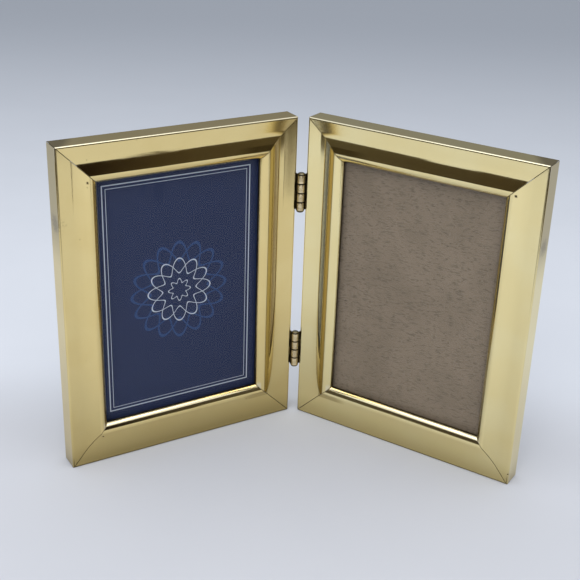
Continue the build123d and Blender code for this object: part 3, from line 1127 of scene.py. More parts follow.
@dataclass(frozen=True)
class Moulding:
    """The cove moulding that all rails are cut from, drawn by inset and depth."""

    depth: float = 10.2
    edge_radius: float = 0.7
    face_run: float = 5.0
    face_tilt: float = 10.0
    ridge_radius: float = 0.6
    ridge_inset: float = 14.2
    bead_radius: float = 4.2
    bead_sweep: float = 65.0
    lip_radius: float = 0.35
    lip_drop: float = 1.3
    wall: float = 0.7
    rabbet_inset: float = 12.1
    rear_radius: float = 0.3
    mitre_gap: float = 0.1
    mitre_roll: float = 0.1
    mitre_hold: float = 0.0005
    mitre_grime: float = 0.6
    stations: int = 25

    @property
    def cove(self) -> tuple[float, float]:
        """Radius of the cove and the angle in degrees at which it meets the ridge.

        The cove starts along the face's run and ends in the ridge, whose top is flush with the
        edge. With a width w and a rise h left between them, and the ridge's radius r, the radius
        is (w^2 + h (h - 2 r)) / (2 (r + w sin t - (r - h) cos t)) at a tilt t of the run.

        Returns:
            The radius and the angle.
        """
        slope, level = sin(radians(self.face_tilt)), cos(radians(self.face_tilt))
        width = self.ridge_inset - self.edge_radius * (1 + slope) - self.face_run * level
        rise = self.edge_radius * (1 - level) + self.face_run * slope
        below = self.ridge_radius + width * slope - (self.ridge_radius - rise) * level
        radius = (width**2 + rise * (rise - 2 * self.ridge_radius)) / (2 * below)
        return radius, degrees(asin((width - radius * slope) / (radius + self.ridge_radius)))

    @property
    def seat_depth(self) -> float:
        """Depth of the seat that the glass lies against."""
        drop = cos(radians(self.bead_sweep))
        return self.bead_radius * (1 - drop) + self.lip_radius * (1 + drop) + self.lip_drop

    @property
    def wall_run(self) -> float:
        """Where the outer wall ends, measured along the section."""
        return self.depth - self.rear_radius - self.edge_radius

    @property
    def edge_run(self) -> float:
        """Where the edge's rounding meets the face, measured along the section."""
        return self.wall_run + self.edge_radius * (pi / 2 + radians(self.face_tilt))

    @property
    def ridge_run(self) -> float:
        """Where the top of the ridge is, measured along the section."""
        radius, angle = self.cove
        tilt, rise = radians(self.face_tilt), radians(angle)
        hollow = radius * (tilt + rise) + self.ridge_radius * rise
        return self.edge_run + self.face_run + hollow

    @property
    def lip_run(self) -> tuple[float, float]:
        """Where the lip starts and where the rabbet starts, measured along the section."""
        sweep = radians(self.bead_sweep)
        start = self.ridge_run + self.bead_radius * sweep
        ceiling = self.ridge_inset + self.bead_radius * sin(sweep) - self.rabbet_inset - self.wall
        round_end = self.lip_radius * (pi - sweep)
        return start, start + round_end + 2 * self.lip_drop + ceiling

    def section(self) -> tuple[Array, Array]:
        """The closed section and its outward normals.

        A pen goes up the outer wall, over the edge, along the face, through the cove, over the
        ridge and the bead, down the lip and round its end to the ceiling of the rabbet, down the
        rabbet and along the rear.

        Returns:
            Points by inset and depth, and normals.
        """
        radius, angle = self.cove
        pen = Pen((0.0, self.depth - self.rear_radius), -90.0)
        pen.line(self.wall_run, 18)
        pen.arc(self.edge_radius, 90 + self.face_tilt, 34)
        pen.line(self.face_run, 24)
        pen.arc(radius, -self.face_tilt - angle, 48)
        pen.arc(self.ridge_radius, angle, 10)
        pen.arc(self.bead_radius, self.bead_sweep, 34)
        pen.arc(self.lip_radius, 90 - self.bead_sweep, 8)
        pen.line(self.lip_drop, 8)
        pen.arc(self.lip_radius, 90, 16)
        pen.line(self.wall - self.lip_radius, 4)
        pen.arc(CREASE, 90, 2)
        pen.line(self.lip_drop, 6)
        pen.arc(CREASE, -90, 2)
        pen.line(pen.points[-1][-1][0] - self.rabbet_inset, 8)
        pen.arc(CREASE, -90, 2)
        pen.line(self.depth - self.rear_radius - pen.points[-1][-1][1], 10)
        pen.arc(self.rear_radius, 90, 10)
        pen.line(pen.points[-1][-1][0] - self.rear_radius, 14)
        pen.arc(self.rear_radius, 90, 10)
        points, normals = pen.outline()
        return points[:-1], normals[:-1]

    def rail(self, run: RailRun, axes: LocalAxes) -> Shell:
        """A length of the moulding, mitred and lightly rolled over at both cuts.

        The section is carried along the rail. A point at inset w starts w past the corner and
        stops w short of the far one, so that both ends lie in 45 degree planes.

        Args:
            run: How the rail lies.
            axes: Axes of its frame.

        Returns:
            The shell.
        """
        section, normal = self.section()
        drawn, short = rolled_edge(self.mitre_roll, 4)
        drawn = np.concatenate([drawn[::-1], np.zeros(self.stations), drawn])[:, None, None]
        ring = section[None] - drawn * normal[None]
        inset, depth = ring[..., 0], ring[..., 1]
        first = inset[: len(short)] + self.mitre_gap / sqrt(2) + short[::-1, None] * sqrt(2)
        last = run.length - first[::-1]
        share = np.linspace(0, 1, self.stations)[:, None]
        share[0], share[-1] = self.mitre_hold, 1 - self.mitre_hold
        middle = first[-1] + share * (last[0] - first[-1])
        along = np.concatenate([first, middle, last])
        u, z = run.spot(inset, along)
        steps = np.linalg.norm(np.diff(section, axis=0, prepend=section[:1]), axis=1)
        across = np.broadcast_to(np.cumsum(steps), along.shape)
        shade_and_grime = np.zeros(along.shape)
        ends = np.linspace(1.0, self.mitre_grime, len(short))[:, None]
        shade_and_grime[: len(short)], shade_and_grime[-len(short):] = ends, ends[::-1]
        return tube(axes.place(u, depth, z), run=np.stack([along, across], axis=-1), shade_and_grime=shade_and_grime)


@dataclass(frozen=True)
class TurnButton:
    """A flat brass turn button and the domed rivet that it turns on."""

    hub_radius: float = 3.1
    tip_radius: float = 2.2
    reach: float = 7.4
    thickness: float = 0.8
    edge_radius: float = 0.2
    gap: float = 0.1
    bore_radius: float = 1.05
    rivet_radius: float = 1.0
    head_radius: float = 1.9
    head_height: float = 0.7
    tail_radius: float = 1.6
    tail_height: float = 0.5
    tail_break: float = 0.1
    head_undercut: float = 0.05
    foot_break: float = 0.06
    bore_break: float = 0.12
    rim: float = 0.1
    steps: int = 96

    def outline(self, drawn_in: Array) -> Array:
        """Outline of the hub and tip with straight sides between them.

        At normal angle a the point is centre + r (cos a, sin a). The centre and radius are the
        tip's where cos a is above (hub - tip) / distance, and the hub's elsewhere.

        Args:
            drawn_in: How far each ring is drawn in from the outline.

        Returns:
            Points by ring and angle.
        """
        distance = self.reach - self.tip_radius
        turn = np.linspace(-pi, pi, self.steps, endpoint=False)
        at_tip = np.cos(turn) > (self.hub_radius - self.tip_radius) / distance
        radius = np.where(at_tip, self.tip_radius, self.hub_radius) - drawn_in[:, None]
        x = np.where(at_tip, distance, 0.0) + radius * np.cos(turn)
        return np.stack([x, radius * np.sin(turn)], axis=-1)

    def plate(self, pivot: Array, inward: Array, back: Array) -> Shell:
        """The button: rings from its bore over the front, the rolled edge and the rear.

        Args:
            pivot: Where its rivet leaves the rail.
            inward: Its way to the tip.
            back: Its way out of the rail.

        Returns:
            The shell.
        """
        drawn, short = rolled_edge(self.edge_radius, 5)
        outer = self.outline(
            np.concatenate([[self.foot_break, 0.0], drawn, [drawn[-1] + self.rim]])
        )
        turn = np.linspace(-pi, pi, self.steps, endpoint=False)
        circle = np.stack([np.cos(turn), np.sin(turn)], axis=-1)
        bore = self.bore_radius + np.array([self.bore_break, 0.0, 0.0])
        rings = np.concatenate([outer, bore[:, None, None] * circle])
        top = self.thickness
        level = np.concatenate(
            [[0.0, self.foot_break], top - short, [top, top, top - self.bore_break, 0.0]]
        )
        level = np.broadcast_to(level[:, None] + self.gap, rings.shape[:2])
        sideways = np.cross(back, inward)
        points = (
            pivot
            + rings[..., :1] * inward
            + rings[..., 1:] * sideways
            + level[..., None] * back
        )
        return tube(points, closed=True)

    def rivet(self, pivot: Array, back: Array, wall: float) -> Shell:
        """The rivet: a domed head over the button, its shank and its upset tail.

        Args:
            pivot: Where it leaves the rail.
            back: Its way out of the rail.
            wall: Thickness of the rail's wall.

        Returns:
            The shell.
        """
        seat, tail = self.thickness + 2 * self.gap, -wall - self.tail_height
        stem = np.array(
            [
                (TIP, tail),
                (self.tail_radius - self.tail_break, tail),
                (self.tail_radius, tail + self.tail_break),
                (self.tail_radius, -wall),
                (self.rivet_radius, -wall),
                (self.rivet_radius, seat),
                (self.head_radius - self.head_undercut, seat),
            ]
        )
        head = dome(self.head_radius, self.head_height, seat, 12)
        return revolved(np.concatenate([stem, head]), pivot, back, 40)


@dataclass(frozen=True)
class ButtHinge:
    """One small butt hinge: two leaves with curled knuckles, flush rivets and a domed pin."""

    level: str
    bottom: float
    length: float = 17.4
    knuckles: int = 4
    knuckle_gap: float = 0.4
    knuckle_round: float = 0.24
    barrel_radius: float = 1.9
    bore_radius: float = 1.15
    pin_radius: float = 1.1
    pin_head_radius: float = 1.8
    pin_head_height: float = 1.0
    pin_head_gap: float = 0.1
    leaf_width: float = 8.0
    leaf_offset: float = 1.4
    leaf_relief: float = 0.15
    leaf_corner_radius: float = 1.0
    leaf_edge: float = 0.1
    leaf_bevel: float = 0.98
    face_clearance: float = 0.1
    rivet_spacing: float = 10.4
    rivet_radius: float = 0.8
    rivet_length: float = 1.6
    rivet_break: tuple[float, float] = (0.02, 0.1)
    rivet_sink: float = 0.65
    rivet_head_radius: float = 1.45
    rivet_crown: float = 0.05
    pin_fillet: float = 0.02
    curl: float = 296.0
    curl_steps: int = 60
    strip_overlap: float = 0.3
    strip_steps: int = 5
    # reach of the painted shade at the leaf's root, share of dark joints at the knuckles' ends, and
    # curl angles of the painted shade on the knuckles' sides
    root_shade: float = 1.6
    end_grime: float = 0.95
    end_reach: float = 0.6
    own_side_shade: tuple[float, float] = (13.0, 38.0)
    far_side_shade: tuple[float, float, float, float] = (108.0, 133.0, 175.0, 205.0)

    @property
    def thickness(self) -> float:
        """Thickness of the leaf's metal."""
        return self.barrel_radius - self.bore_radius

    @property
    def inner_face(self) -> float:
        """From the pin's axis to the leaf's face on the hinge's side."""
        return self.leaf_offset - self.thickness

    @property
    def axis_to_face(self) -> float:
        """From the pin's axis to the plane of a frame's face."""
        return self.barrel_radius + self.face_clearance

    @property
    def pitch(self) -> float:
        """Height from one knuckle to the next."""
        return (self.length + self.knuckle_gap) / self.knuckles

    def plate(self, axes: LocalAxes) -> Shell:
        """The flat of a leaf: a rounded outline in rings over its two bevelled faces.

        Args:
            axes: Axes from the pin, along the frame.

        Returns:
            The shell.
        """
        root = self.barrel_radius + self.leaf_relief
        width = self.leaf_width - root
        outline, normal = rounded_rectangle(width, self.length, self.leaf_corner_radius, 8)
        root_side = outline[:, 0] < 0
        square, square_normal = rounded_rectangle(width, self.length, self.leaf_edge, 8)
        outline = np.where(root_side[:, None], square, outline)
        normal = np.where(root_side[:, None], square_normal, normal)
        drawn, short = rolled_edge(self.leaf_edge, 3)
        drawn = np.concatenate([drawn[::-1], drawn])
        level = np.concatenate([short[::-1], self.thickness - short])
        rings = outline[None] - drawn[:, None, None] * self.leaf_bevel * normal[None]
        u = np.broadcast_to((self.inner_face + level)[:, None], rings.shape[:2])
        depth = rings[..., 0] + root + width / 2
        # painted shade, darkest at the root by the barrel
        shade_and_grime = np.clip((root + self.root_shade - depth) / self.root_shade, 0.0, 1.0)
        height = rings[..., 1] + self.bottom + self.length / 2
        return tube(axes.place(u, depth, height), shade_and_grime=shade_and_grime)

    def knuckle(self, axes: LocalAxes, number: int) -> Shell:
        """One knuckle: a strip that leaves the plate and curls round the pin.

        A rounded rectangle of the strip is carried straight from the plate at P to where it
        touches the curl's circle, and then along r (cos a, sin a) about the pin as a runs back
        through the curl. The touching point lies acos(r / |P|) before P as seen from the pin.

        Args:
            axes: Axes from the pin, along the frame.
            number: Place of the knuckle, counted from below.

        Returns:
            The shell.
        """
        height = self.pitch - self.knuckle_gap
        strip, _ = rounded_rectangle(self.thickness, height, self.knuckle_round, 5)
        radius = (self.barrel_radius + self.bore_radius) / 2
        root = self.barrel_radius + self.leaf_relief + self.strip_overlap
        plate = np.array([self.inner_face + self.thickness / 2, root])
        touch = atan2(plate[1], plate[0]) - acos(radius / float(np.hypot(*plate)))
        curled = np.linspace(0, self.curl, self.curl_steps + 1)
        turn = touch - np.radians(curled)
        ring = np.stack([np.cos(turn), np.sin(turn)], axis=1)
        share = np.linspace(0, 1, self.strip_steps + 1)[:-1, None]
        centre = np.concatenate([plate + share * (radius * ring[0] - plate), radius * ring])
        away = np.concatenate([np.tile(ring[0], (self.strip_steps, 1)), ring])
        spot = centre[:, None] + strip[None, :, :1] * away[:, None]
        z = np.broadcast_to(strip[None, :, 1], spot.shape[:2])
        middle = self.bottom + number * self.pitch + height / 2
        curled = np.concatenate([np.zeros(self.strip_steps), curled])
        # painted shade on the knuckle's sides where it faces the stiles; dark joints at its ends
        sides = np.maximum(
            np.interp(curled, self.own_side_shade, (1.0, 0.0)),
            np.interp(curled, self.far_side_shade, (0.0, 1.0, 1.0, 0.0)),
        )
        ends = np.abs(strip[:, 1]) > height / 2 - self.end_reach * self.knuckle_round
        shade_and_grime = np.maximum(sides[:, None], self.end_grime * ends[None])
        return tube(axes.place(spot[..., 0], spot[..., 1], z + middle), shade_and_grime=shade_and_grime)

    def rivets(self, axes: LocalAxes) -> list[Shell]:
        """Sunk rivets of a leaf, dressed off to a low crown.

        Args:
            axes: Axes from the pin, along the frame.

        Returns:
            One shell for each rivet.
        """
        depth = (self.leaf_width + self.barrel_radius + self.leaf_relief) / 2
        middle = self.bottom + self.length / 2
        rise = np.linspace(0, 1, 8)
        crown = np.stack(
            [self.rivet_head_radius * (1 - rise), self.rivet_crown * (1 - (1 - rise) ** 2)], axis=1
        )
        crown[-1, 0] = TIP
        shank, tail = self.rivet_radius, -self.rivet_length
        inset, lift = self.rivet_break
        stem = np.array(
            [(TIP, tail), (shank - inset, tail), (shank, tail + lift), (shank, -self.rivet_sink)]
        )
        profile = np.concatenate([stem, crown])
        return [
            revolved(
                profile,
                axes.place(self.inner_face, depth, middle + side * self.rivet_spacing / 2),
                -axes.out,
                32,
            )
            for side in (-1, 1)
        ]

    def pin(self, axes: LocalAxes) -> Shell:
        """The pin: a rod with a domed head at each end.

        Args:
            axes: Axes from the pin.

        Returns:
            The shell.
        """
        seat, fillet = self.length + self.pin_head_gap, self.pin_fillet
        upper = dome(self.pin_head_radius, self.pin_head_height, seat, 14)
        lower = np.stack([upper[::-1, 0], self.length - upper[::-1, 1]], axis=1)
        rod = np.array(
            [
                (self.pin_radius + fillet, -self.pin_head_gap),
                (self.pin_radius, -self.pin_head_gap + fillet),
                (self.pin_radius, seat - fillet),
                (self.pin_radius + fillet, seat),
            ]
        )
        profile = np.concatenate([lower, rod, upper])
        return revolved(profile, axes.place(0.0, 0.0, self.bottom), UP, 48)

    def build(
        self,
        pins: dict[Side, LocalAxes],
        leaf_finish: bpy.types.Material,
        pin_finish: bpy.types.Material,
    ) -> None:
        """Makes the leaves and the pin. The right leaf has the top knuckle.

        Args:
            pins: Axes from the pin, along each frame.
            leaf_finish: Finish of the leaves.
            pin_finish: Finish of the pin.
        """
        for side, axes in pins.items():
            top = self.knuckles - (1 if side is Side.RIGHT else 2)
            shells = [self.plate(axes)]
            shells += [self.knuckle(axes, number) for number in range(top, -1, -2)]
            name = f"{self.level}_hinge_{side.value}_leaf"
            leaf = Shell.joined(shells).piece(f"{name}_curled", side.body, Slot.HINGES, leaf_finish)
            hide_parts(name)
        name = f"{self.level}_hinge_pin"
        pin = self.pin(pins[Side.LEFT]).piece(
            f"{name}_domed", Side.LEFT.body, Slot.PINS, pin_finish
        )
        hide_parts(name)


@dataclass
class PhotoFrame:
    """One frame: four mitred rails, glass, boards and a velour back held by turn buttons."""

    side: Side
    axes: LocalAxes
    moulding: Moulding = field(default_factory=Moulding)
    button: TurnButton = field(default_factory=TurnButton)
    width: float = 114.3
    height: float = 153.0
    pane_clearance: float = 0.3
    pivot_inset: float = 7.6
    button_slack: float = 0.15
    card_thickness: float = 0.35
    glass_thickness: float = 2.0
    glass_arris: float = 0.15
    glass_air: float = 0.01
    glass_rim: float = 0.8
    velour_thickness: float = 0.4
    velour_corner: float = 0.6
    velour_roll: float = 0.25
    pile_depth: float = 0.03
    pile_start: float = 0.3
    pile_waves: tuple[float, float] = (0.9, 0.7)
    glued_rings: int = 4
    pile_rings: int = 40
    middle_share: float = 0.002

    @property
    def runs(self) -> dict[str, RailRun]:
        """How the four rails lie, each starting where the last one ends."""
        return {
            "hinge_stile": RailRun((0.0, 0.0), (1.0, 0.0), (0.0, 1.0), self.height),
            "top_rail": RailRun((0.0, self.height), (0.0, -1.0), (1.0, 0.0), self.width),
            "outer_stile": RailRun(
                (self.width, self.height), (-1.0, 0.0), (0.0, -1.0), self.height
            ),
            "bottom_rail": RailRun((self.width, 0.0), (0.0, 1.0), (-1.0, 0.0), self.width),
        }

    @property
    def pocket(self) -> tuple[float, float]:
        """Width and height of what lies in the rabbet."""
        margin = 2 * (self.moulding.rabbet_inset + self.pane_clearance)
        return self.width - margin, self.height - margin

    def centre(self) -> Array:
        """Middle of the frame's face."""
        return self.axes.place(self.width / 2, 0.0, self.height / 2)

    def build_rails(self, finish: bpy.types.Material) -> None:
        """Makes the four rails.

        Args:
            finish: Finish of the moulding.
        """
        for name, run in self.runs.items():
            node = f"{self.side.value}_{name}"
            shell = self.moulding.rail(run, self.axes)
            rail = shell.piece(f"{node}_moulding", self.side.body, Slot.MOULDING, finish)
            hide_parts(node)

    def build_buttons(
        self, button_finish: bpy.types.Material, rivet_finish: bpy.types.Material
    ) -> None:
        """Makes the turn buttons on the rails' rear faces, and their rivets.

        Args:
            button_finish: Finish of the buttons.
            rivet_finish: Finish of the rivets.
        """
        rivets: list[Shell] = []
        for name, run in self.runs.items():
            node = f"{self.side.value}_{name}_button"
            u, z = run.spot(self.pivot_inset, run.length / 2)
            pivot = self.axes.place(u, self.moulding.depth, z)
            inward = run.inward[0] * self.axes.out + run.inward[1] * UP
            plate = self.button.plate(pivot, inward, self.axes.back)
            piece = plate.piece(f"{node}_plate", node, Slot.BUTTONS, button_finish)
            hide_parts(node)
            rivets.append(self.button.rivet(pivot, self.axes.back, self.moulding.wall))
        node = f"{self.side.value}_button_rivets"
        piece = Shell.joined(rivets).piece(
            f"{node}_domed", self.side.body, Slot.RIVETS, rivet_finish
        )
        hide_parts(node)

    def build_pane(self, finish: bpy.types.Material) -> None:
        """Makes the glass: a flat pane with ground edges and a film of air on both its faces.

        Args:
            finish: Finish of the glass.
        """
        width, height = self.pocket
        normal = np.array([[1, 1], [-1, 1], [-1, -1], [1, -1]], float)
        outline = normal * np.array([width / 2, height / 2])
        drawn, short = rolled_edge(self.glass_arris, 3)
        drawn = np.concatenate([[self.glass_rim], drawn[::-1], drawn, [self.glass_rim]])
        thickness = self.glass_thickness - 2 * self.glass_air
        level = np.concatenate([[0.0], short[::-1], thickness - short, [thickness]])
        rings = outline[None] - drawn[:, None, None] * normal[None]
        depth = (self.moulding.seat_depth + self.glass_air + level)[:, None]
        points = self.axes.place(
            rings[..., 0] + self.width / 2, depth, rings[..., 1] + self.height / 2
        )
        node = f"{self.side.value}_glass"
        pane = tube(points).piece(f"{node}_pane", self.side.body, Slot.GLASS, finish)
        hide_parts(node)

    def build_velour(self, finish: bpy.types.Material) -> None:
        """Makes the velour back: rings from its glued face, round its edge and over its pile.

        The rings shrink from the outline to the middle, and the pile's height is lowered by a
        small product of waves in u and z. The right frame holds no card, so there it lies the
        card's thickness further forward.

        Args:
            finish: Finish of the cloth.
        """
        width, height = self.pocket
        rear = self.moulding.depth - self.button_slack
        if self.side is Side.RIGHT:
            rear -= self.card_thickness
        front = rear - self.velour_thickness
        outline, normal = rounded_rectangle(width, height, self.velour_corner, 24)
        drawn, short = rolled_edge(self.velour_roll, 5)
        edge = outline[None] - drawn[:, None, None] * normal[None]
        shrink = np.linspace(1.0, self.middle_share, self.pile_rings)[1:]
        spread = np.linspace(self.middle_share, 1.0, self.glued_rings)
        inner = shrink[:, None, None] * edge[-1][None]
        glued = spread[:, None, None] * outline[None]
        rings = np.concatenate([glued, edge, inner])
        waves = np.cos(rings * np.array(self.pile_waves)).prod(axis=-1)
        level = np.concatenate(
            [np.full(len(glued), front), rear - short, np.full(len(inner), rear)]
        )[:, None]
        pile = self.pile_depth * (1 - waves) / 2
        depth = level - np.where(level > front + self.pile_start, pile, 0.0)
        points = self.axes.place(
            rings[..., 0] + self.width / 2, depth, rings[..., 1] + self.height / 2
        )
        node = f"{self.side.value}_back_velour"
        cloth = tube(points).piece(f"{node}_pile", self.side.body, Slot.VELOUR, finish)
        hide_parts(node)

    def dress_solids(
        self, nodes: dict[str, bpy.types.Object], steel: bpy.types.Material
    ) -> None:
        """Gives the corner keys, the boards and the left frame's card their finishes.

        Args:
            nodes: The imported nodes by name.
            steel: Finish of the corner keys.
        """
        side = self.side.value
        place, turn = self.axes.mapping(self.centre())
        packing = FibreBoard(
            f"{side}_grey_board", place, turn,
            light=(0.262, 0.199, 0.148), dark=(0.232, 0.176, 0.130), fleck=(0.078, 0.057, 0.041),
        )
        backing = FibreBoard(
            f"{side}_brown_board", place, turn,
            light=(0.33, 0.26, 0.18), dark=(0.26, 0.20, 0.14), fleck=(0.12, 0.09, 0.06),
        )
        dress(nodes[f"{side}_corner_keys"], steel)
        dress(nodes[f"{side}_packing_board"], packing.material())
        dress(nodes[f"{side}_back_board"], backing.material())
        if self.side is Side.LEFT:
            dress(nodes["left_insert_card"], PrintedCard(place, turn, *self.pocket).material())


@dataclass(frozen=True)
class PhotoCamera:
    """The camera at the photograph's angle, measured from the foot of the hinge axis.

    Its clip distances are in metres, and its turns in degrees.
    """

    lens: float = 67.30
    sensor: float = 36.0
    clip: tuple[float, float] = (0.01, 50.0)
    place: Point = (-1.09, -476.10, 285.31)
    yaw: float = -0.274
    pitch: float = -24.597
    roll: float = 2.038

    def build(self, pin: Array) -> None:
        """Makes the camera and gives it to the scene.

        Args:
            pin: Foot of the hinge axis.
        """
        yaw, pitch, roll = radians(self.yaw), radians(self.pitch), radians(self.roll)
        ahead = Vector((sin(yaw) * cos(pitch), cos(yaw) * cos(pitch), sin(pitch)))
        right = Vector((cos(yaw), -sin(yaw), 0.0))
        up = right.cross(ahead)
        across = cos(roll) * right + sin(roll) * up
        upright = cos(roll) * up - sin(roll) * right
        turn = Matrix((across, upright, -ahead)).transposed().to_4x4()
        data = bpy.data.cameras.new("photo_camera")
        data.lens = self.lens
        data.sensor_width = self.sensor
        data.clip_start, data.clip_end = self.clip
        camera = bpy.data.objects.new("photo_camera", data)
        spot = (np.array(self.place) + pin) * MM
        camera.matrix_world = Matrix.Translation(Vector(spot.tolist())) @ turn
        bpy.context.scene.collection.objects.link(camera)
        bpy.context.scene.camera = camera


@dataclass(frozen=True)
class SoftLamp:
    """A broad soft lamp: its place, aim and face in metres, its power in watts.

    Polished metal shows it only where it is mirrored.
    """

    name: str
    place: Point
    aim: Point
    size: tuple[float, float]
    energy: float
    mirrored: bool

    def build(self) -> None:
        """Hangs the lamp and turns its face to its aim."""
        data = bpy.data.lights.new(self.name, "AREA")
        data.shape = "RECTANGLE"
        data.size, data.size_y = self.size
        data.energy = self.energy
        lamp = bpy.data.objects.new(self.name, data)
        turn = (Vector(self.aim) - Vector(self.place)).to_track_quat("-Z", "Y")
        lamp.matrix_world = Matrix.Translation(self.place) @ turn.to_matrix().to_4x4()
        lamp.visible_glossy = self.mirrored
        bpy.context.scene.collection.objects.link(lamp)


@dataclass(frozen=True)
class Studio:
    """Pale table, soft sky of light, two broad lamps and a dark flag on each side of the camera."""

    reach: float = 4000.0
    table_drop: float = 0.02
    front_fade: Reach = (-10.0, 70.0)
    back_fade: Reach = (50.0, 1100.0)
    # table tones: near is painted shade in front of and between the frames, far a painted falloff
    # of light towards the back
    near: Colour = (0.61, 0.632, 0.695)
    bright: Colour = (0.725, 0.765, 0.85)
    far: Colour = (0.395, 0.433, 0.505)
    sky: Colour = (0.86, 0.87, 0.88)
    side: Colour = (0.44, 0.475, 0.53)
    behind: Colour = (0.23, 0.235, 0.235)
    room: Colour = (0.36, 0.33, 0.28)
    haze: Colour = (0.42, 0.45, 0.51)
    flag_deep: Colour = (0.016, 0.008, 0.006)
    flag_dark: Colour = (0.095, 0.073, 0.045)
    flag_light: Colour = (0.150, 0.126, 0.082)
    deep_rise: Reach = (0.0, 10.0)
    deep_fall: Reach = (150.0, 235.0)
    light_fade: Reach = (150.0, 360.0)
    flag_near: tuple[float, float] = (100.0, -297.0)
    flag_far: tuple[float, float] = (390.0, -40.0)
    flag_top: float = 345.0
    left_hem: tuple[tuple[float, float], ...] = (
        (100.0, 58.0), (189.0, 46.0), (194.0, 68.0), (217.0, 68.0), (222.0, 42.0), (390.0, 20.0),
    )
    right_hem: tuple[tuple[float, float], ...] = (
        (100.0, 58.0), (188.0, 46.0), (191.0, 64.0), (193.0, 64.0), (196.0, 22.0), (199.0, 66.0),
        (200.5, 66.0), (203.0, 4.0), (204.6, 4.0), (207.0, 64.0), (208.0, 64.0), (210.5, 0.0),
        (215.0, 0.0), (219.0, 62.0), (223.0, 42.0), (390.0, 20.0),
    )
    lamps: tuple[SoftLamp, ...] = (
        SoftLamp("overhead_lamp", (0.0, -0.35, 1.25), (0.0, 0.0, 0.05), (1.3, 0.9), 5.2, True),
        SoftLamp("front_fill", (-0.20, -1.05, 0.80), (0.0, -0.1, 0.05), (0.9, 0.6), 5.0, False),
    )

    def build_table(self) -> None:
        """Makes the table: one broad sheet whose tone goes softly from front to back."""
        span = np.array([-1.0, 1.0]) * self.reach * MM
        x, y = np.meshgrid(span, span, indexing="ij")
        level = np.full_like(x, -self.table_drop * MM)
        points = np.stack([x, y, level], axis=-1).reshape(-1, 3)
        mesh = bpy.data.meshes.new("table")
        mesh.from_pydata(points.tolist(), [], [(0, 2, 3, 1)])
        material, sheet = new_material("pale_table")
        where = sheet.where()
        _, away, _ = sheet.parts(where)
        grain = sheet.noise(where, 14.0, 4.0)
        # painted shade: darker in front of and between the frames, and darker far back
        front = sheet.blend(
            sheet.fade(away, self.front_fade), solid(self.near), solid(self.bright)
        )
        tone = sheet.blend(sheet.fade(away, self.back_fade), front, solid(self.far))
        cloudy = sheet.blend(sheet.ramp(grain, 0.3, 0.7, 0.0, 0.05), tone, solid(self.far))
        shader = sheet.add("ShaderNodeBsdfPrincipled", {"Base Color": cloudy, "Roughness": 0.75})
        sheet.show(shader.outputs[0])
        mesh.materials.append(material)
        table = bpy.data.objects.new("table", mesh)
        bpy.context.scene.collection.objects.link(table)

    def build_flags(self) -> None:
        """Stands a dark flag on each side of the camera, seen by polished metal alone.

        A flag is a flat sheet over the line from its near to its far post, cut along its hem.
        """
        material, sheet = new_material("dark_flag")
        x, _, _ = sheet.parts(sheet.where())
        deep = sheet.band(x, self.deep_rise, self.deep_fall)
        dark = sheet.blend(deep, solid(self.flag_dark), solid(self.flag_deep))
        light = sheet.fade(sheet.math("ABSOLUTE", x), self.light_fade)
        tone = sheet.blend(light, dark, solid(self.flag_light))
        shader = sheet.add(
            "ShaderNodeBsdfPrincipled",
            {"Base Color": tone, "Roughness": 0.9, "Specular IOR Level": 0.0},
        )
        sheet.show(shader.outputs[0])
        near, far = self.flag_near, self.flag_far
        for side, hem in ((Side.LEFT, self.left_hem), (Side.RIGHT, self.right_hem)):
            along, level = np.array([*hem, (far[0], self.flag_top), (near[0], self.flag_top)]).T
            depth = np.interp(along, (near[0], far[0]), (near[1], far[1]))
            corners = np.stack([side.sign * along, depth, level], axis=1) * MM
            mesh = bpy.data.meshes.new(f"{side.value}_flag")
            mesh.from_pydata(corners.tolist(), [], [range(len(corners))])
            mesh.materials.append(material)
            flag = bpy.data.objects.new(f"{side.value}_flag", mesh)
            flag.visible_camera = False
            flag.visible_diffuse = False
            flag.visible_transmission = False
            flag.visible_shadow = False
            bpy.context.scene.collection.objects.link(flag)

    def build_sky(self) -> None:
        """Makes the world: light above, grey walls, a dim room in front and a pale haze all round.

        The tone at a direction follows its height and its way to the front.
        """
        world = bpy.data.worlds.new("studio_sky")
        world.use_nodes = True
        bpy.context.scene.world = world
        sheet = NodeSheet(world.node_tree)
        way = sheet.add("ShaderNodeTexCoord").outputs["Generated"]
        _, y, z = sheet.parts(way)
        walls = sheet.blend(sheet.ramp(y, 0.0, 0.55), solid(self.side), solid(self.behind))
        level = sheet.ramp(z, 0.42, 0.70)
        dim = sheet.product(
            sheet.ramp(y, -0.5, -0.15, 1.0, 0.0), sheet.ramp(z, 0.40, 0.62, 1.0, 0.0)
        )
        tone = sheet.blend(dim, sheet.blend(level, walls, solid(self.sky)), solid(self.room))
        tone = sheet.blend(sheet.ramp(z, 0.06, 0.20, 1.0, 0.0), tone, solid(self.haze))
        glow = sheet.add("ShaderNodeBackground", {"Color": tone, "Strength": 1.0})
        sheet.add("ShaderNodeOutputWorld", {"Surface": glow.outputs[0]})

    def build(self) -> None:
        """Makes the table, the flags, the sky and the lamps."""
        self.build_table()
        self.build_flags()
        self.build_sky()
        for lamp in self.lamps:
            lamp.build()
        bpy.context.scene.view_settings.view_transform = "Standard"


def dress(node: bpy.types.Object, finish: bpy.types.Material) -> None:
    """Gives a carried-over solid its finish in each of its material slots."""
    for slot in node.material_slots:
        slot.material = finish
    LOG.info("solid %s: %s", node.name, finish.name)


def frame_axes(joints: list[dict[str, object]], side: Side, pin: Array) -> LocalAxes:
    """Axes from the pin along one frame, read from the axis that its turn buttons share.

    Args:
        joints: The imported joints.
        side: Which frame.
        pin: Foot of the hinge axis, in millimetres.

    Returns:
        The axes.
    """
    name = f"{side.value}_top_rail_button_turn"
    back = np.array(next(j["axis"] for j in joints if j["name"] == name), float)
    out = np.cross(UP, back) * -side.sign
    return LocalAxes(pin, out, back)


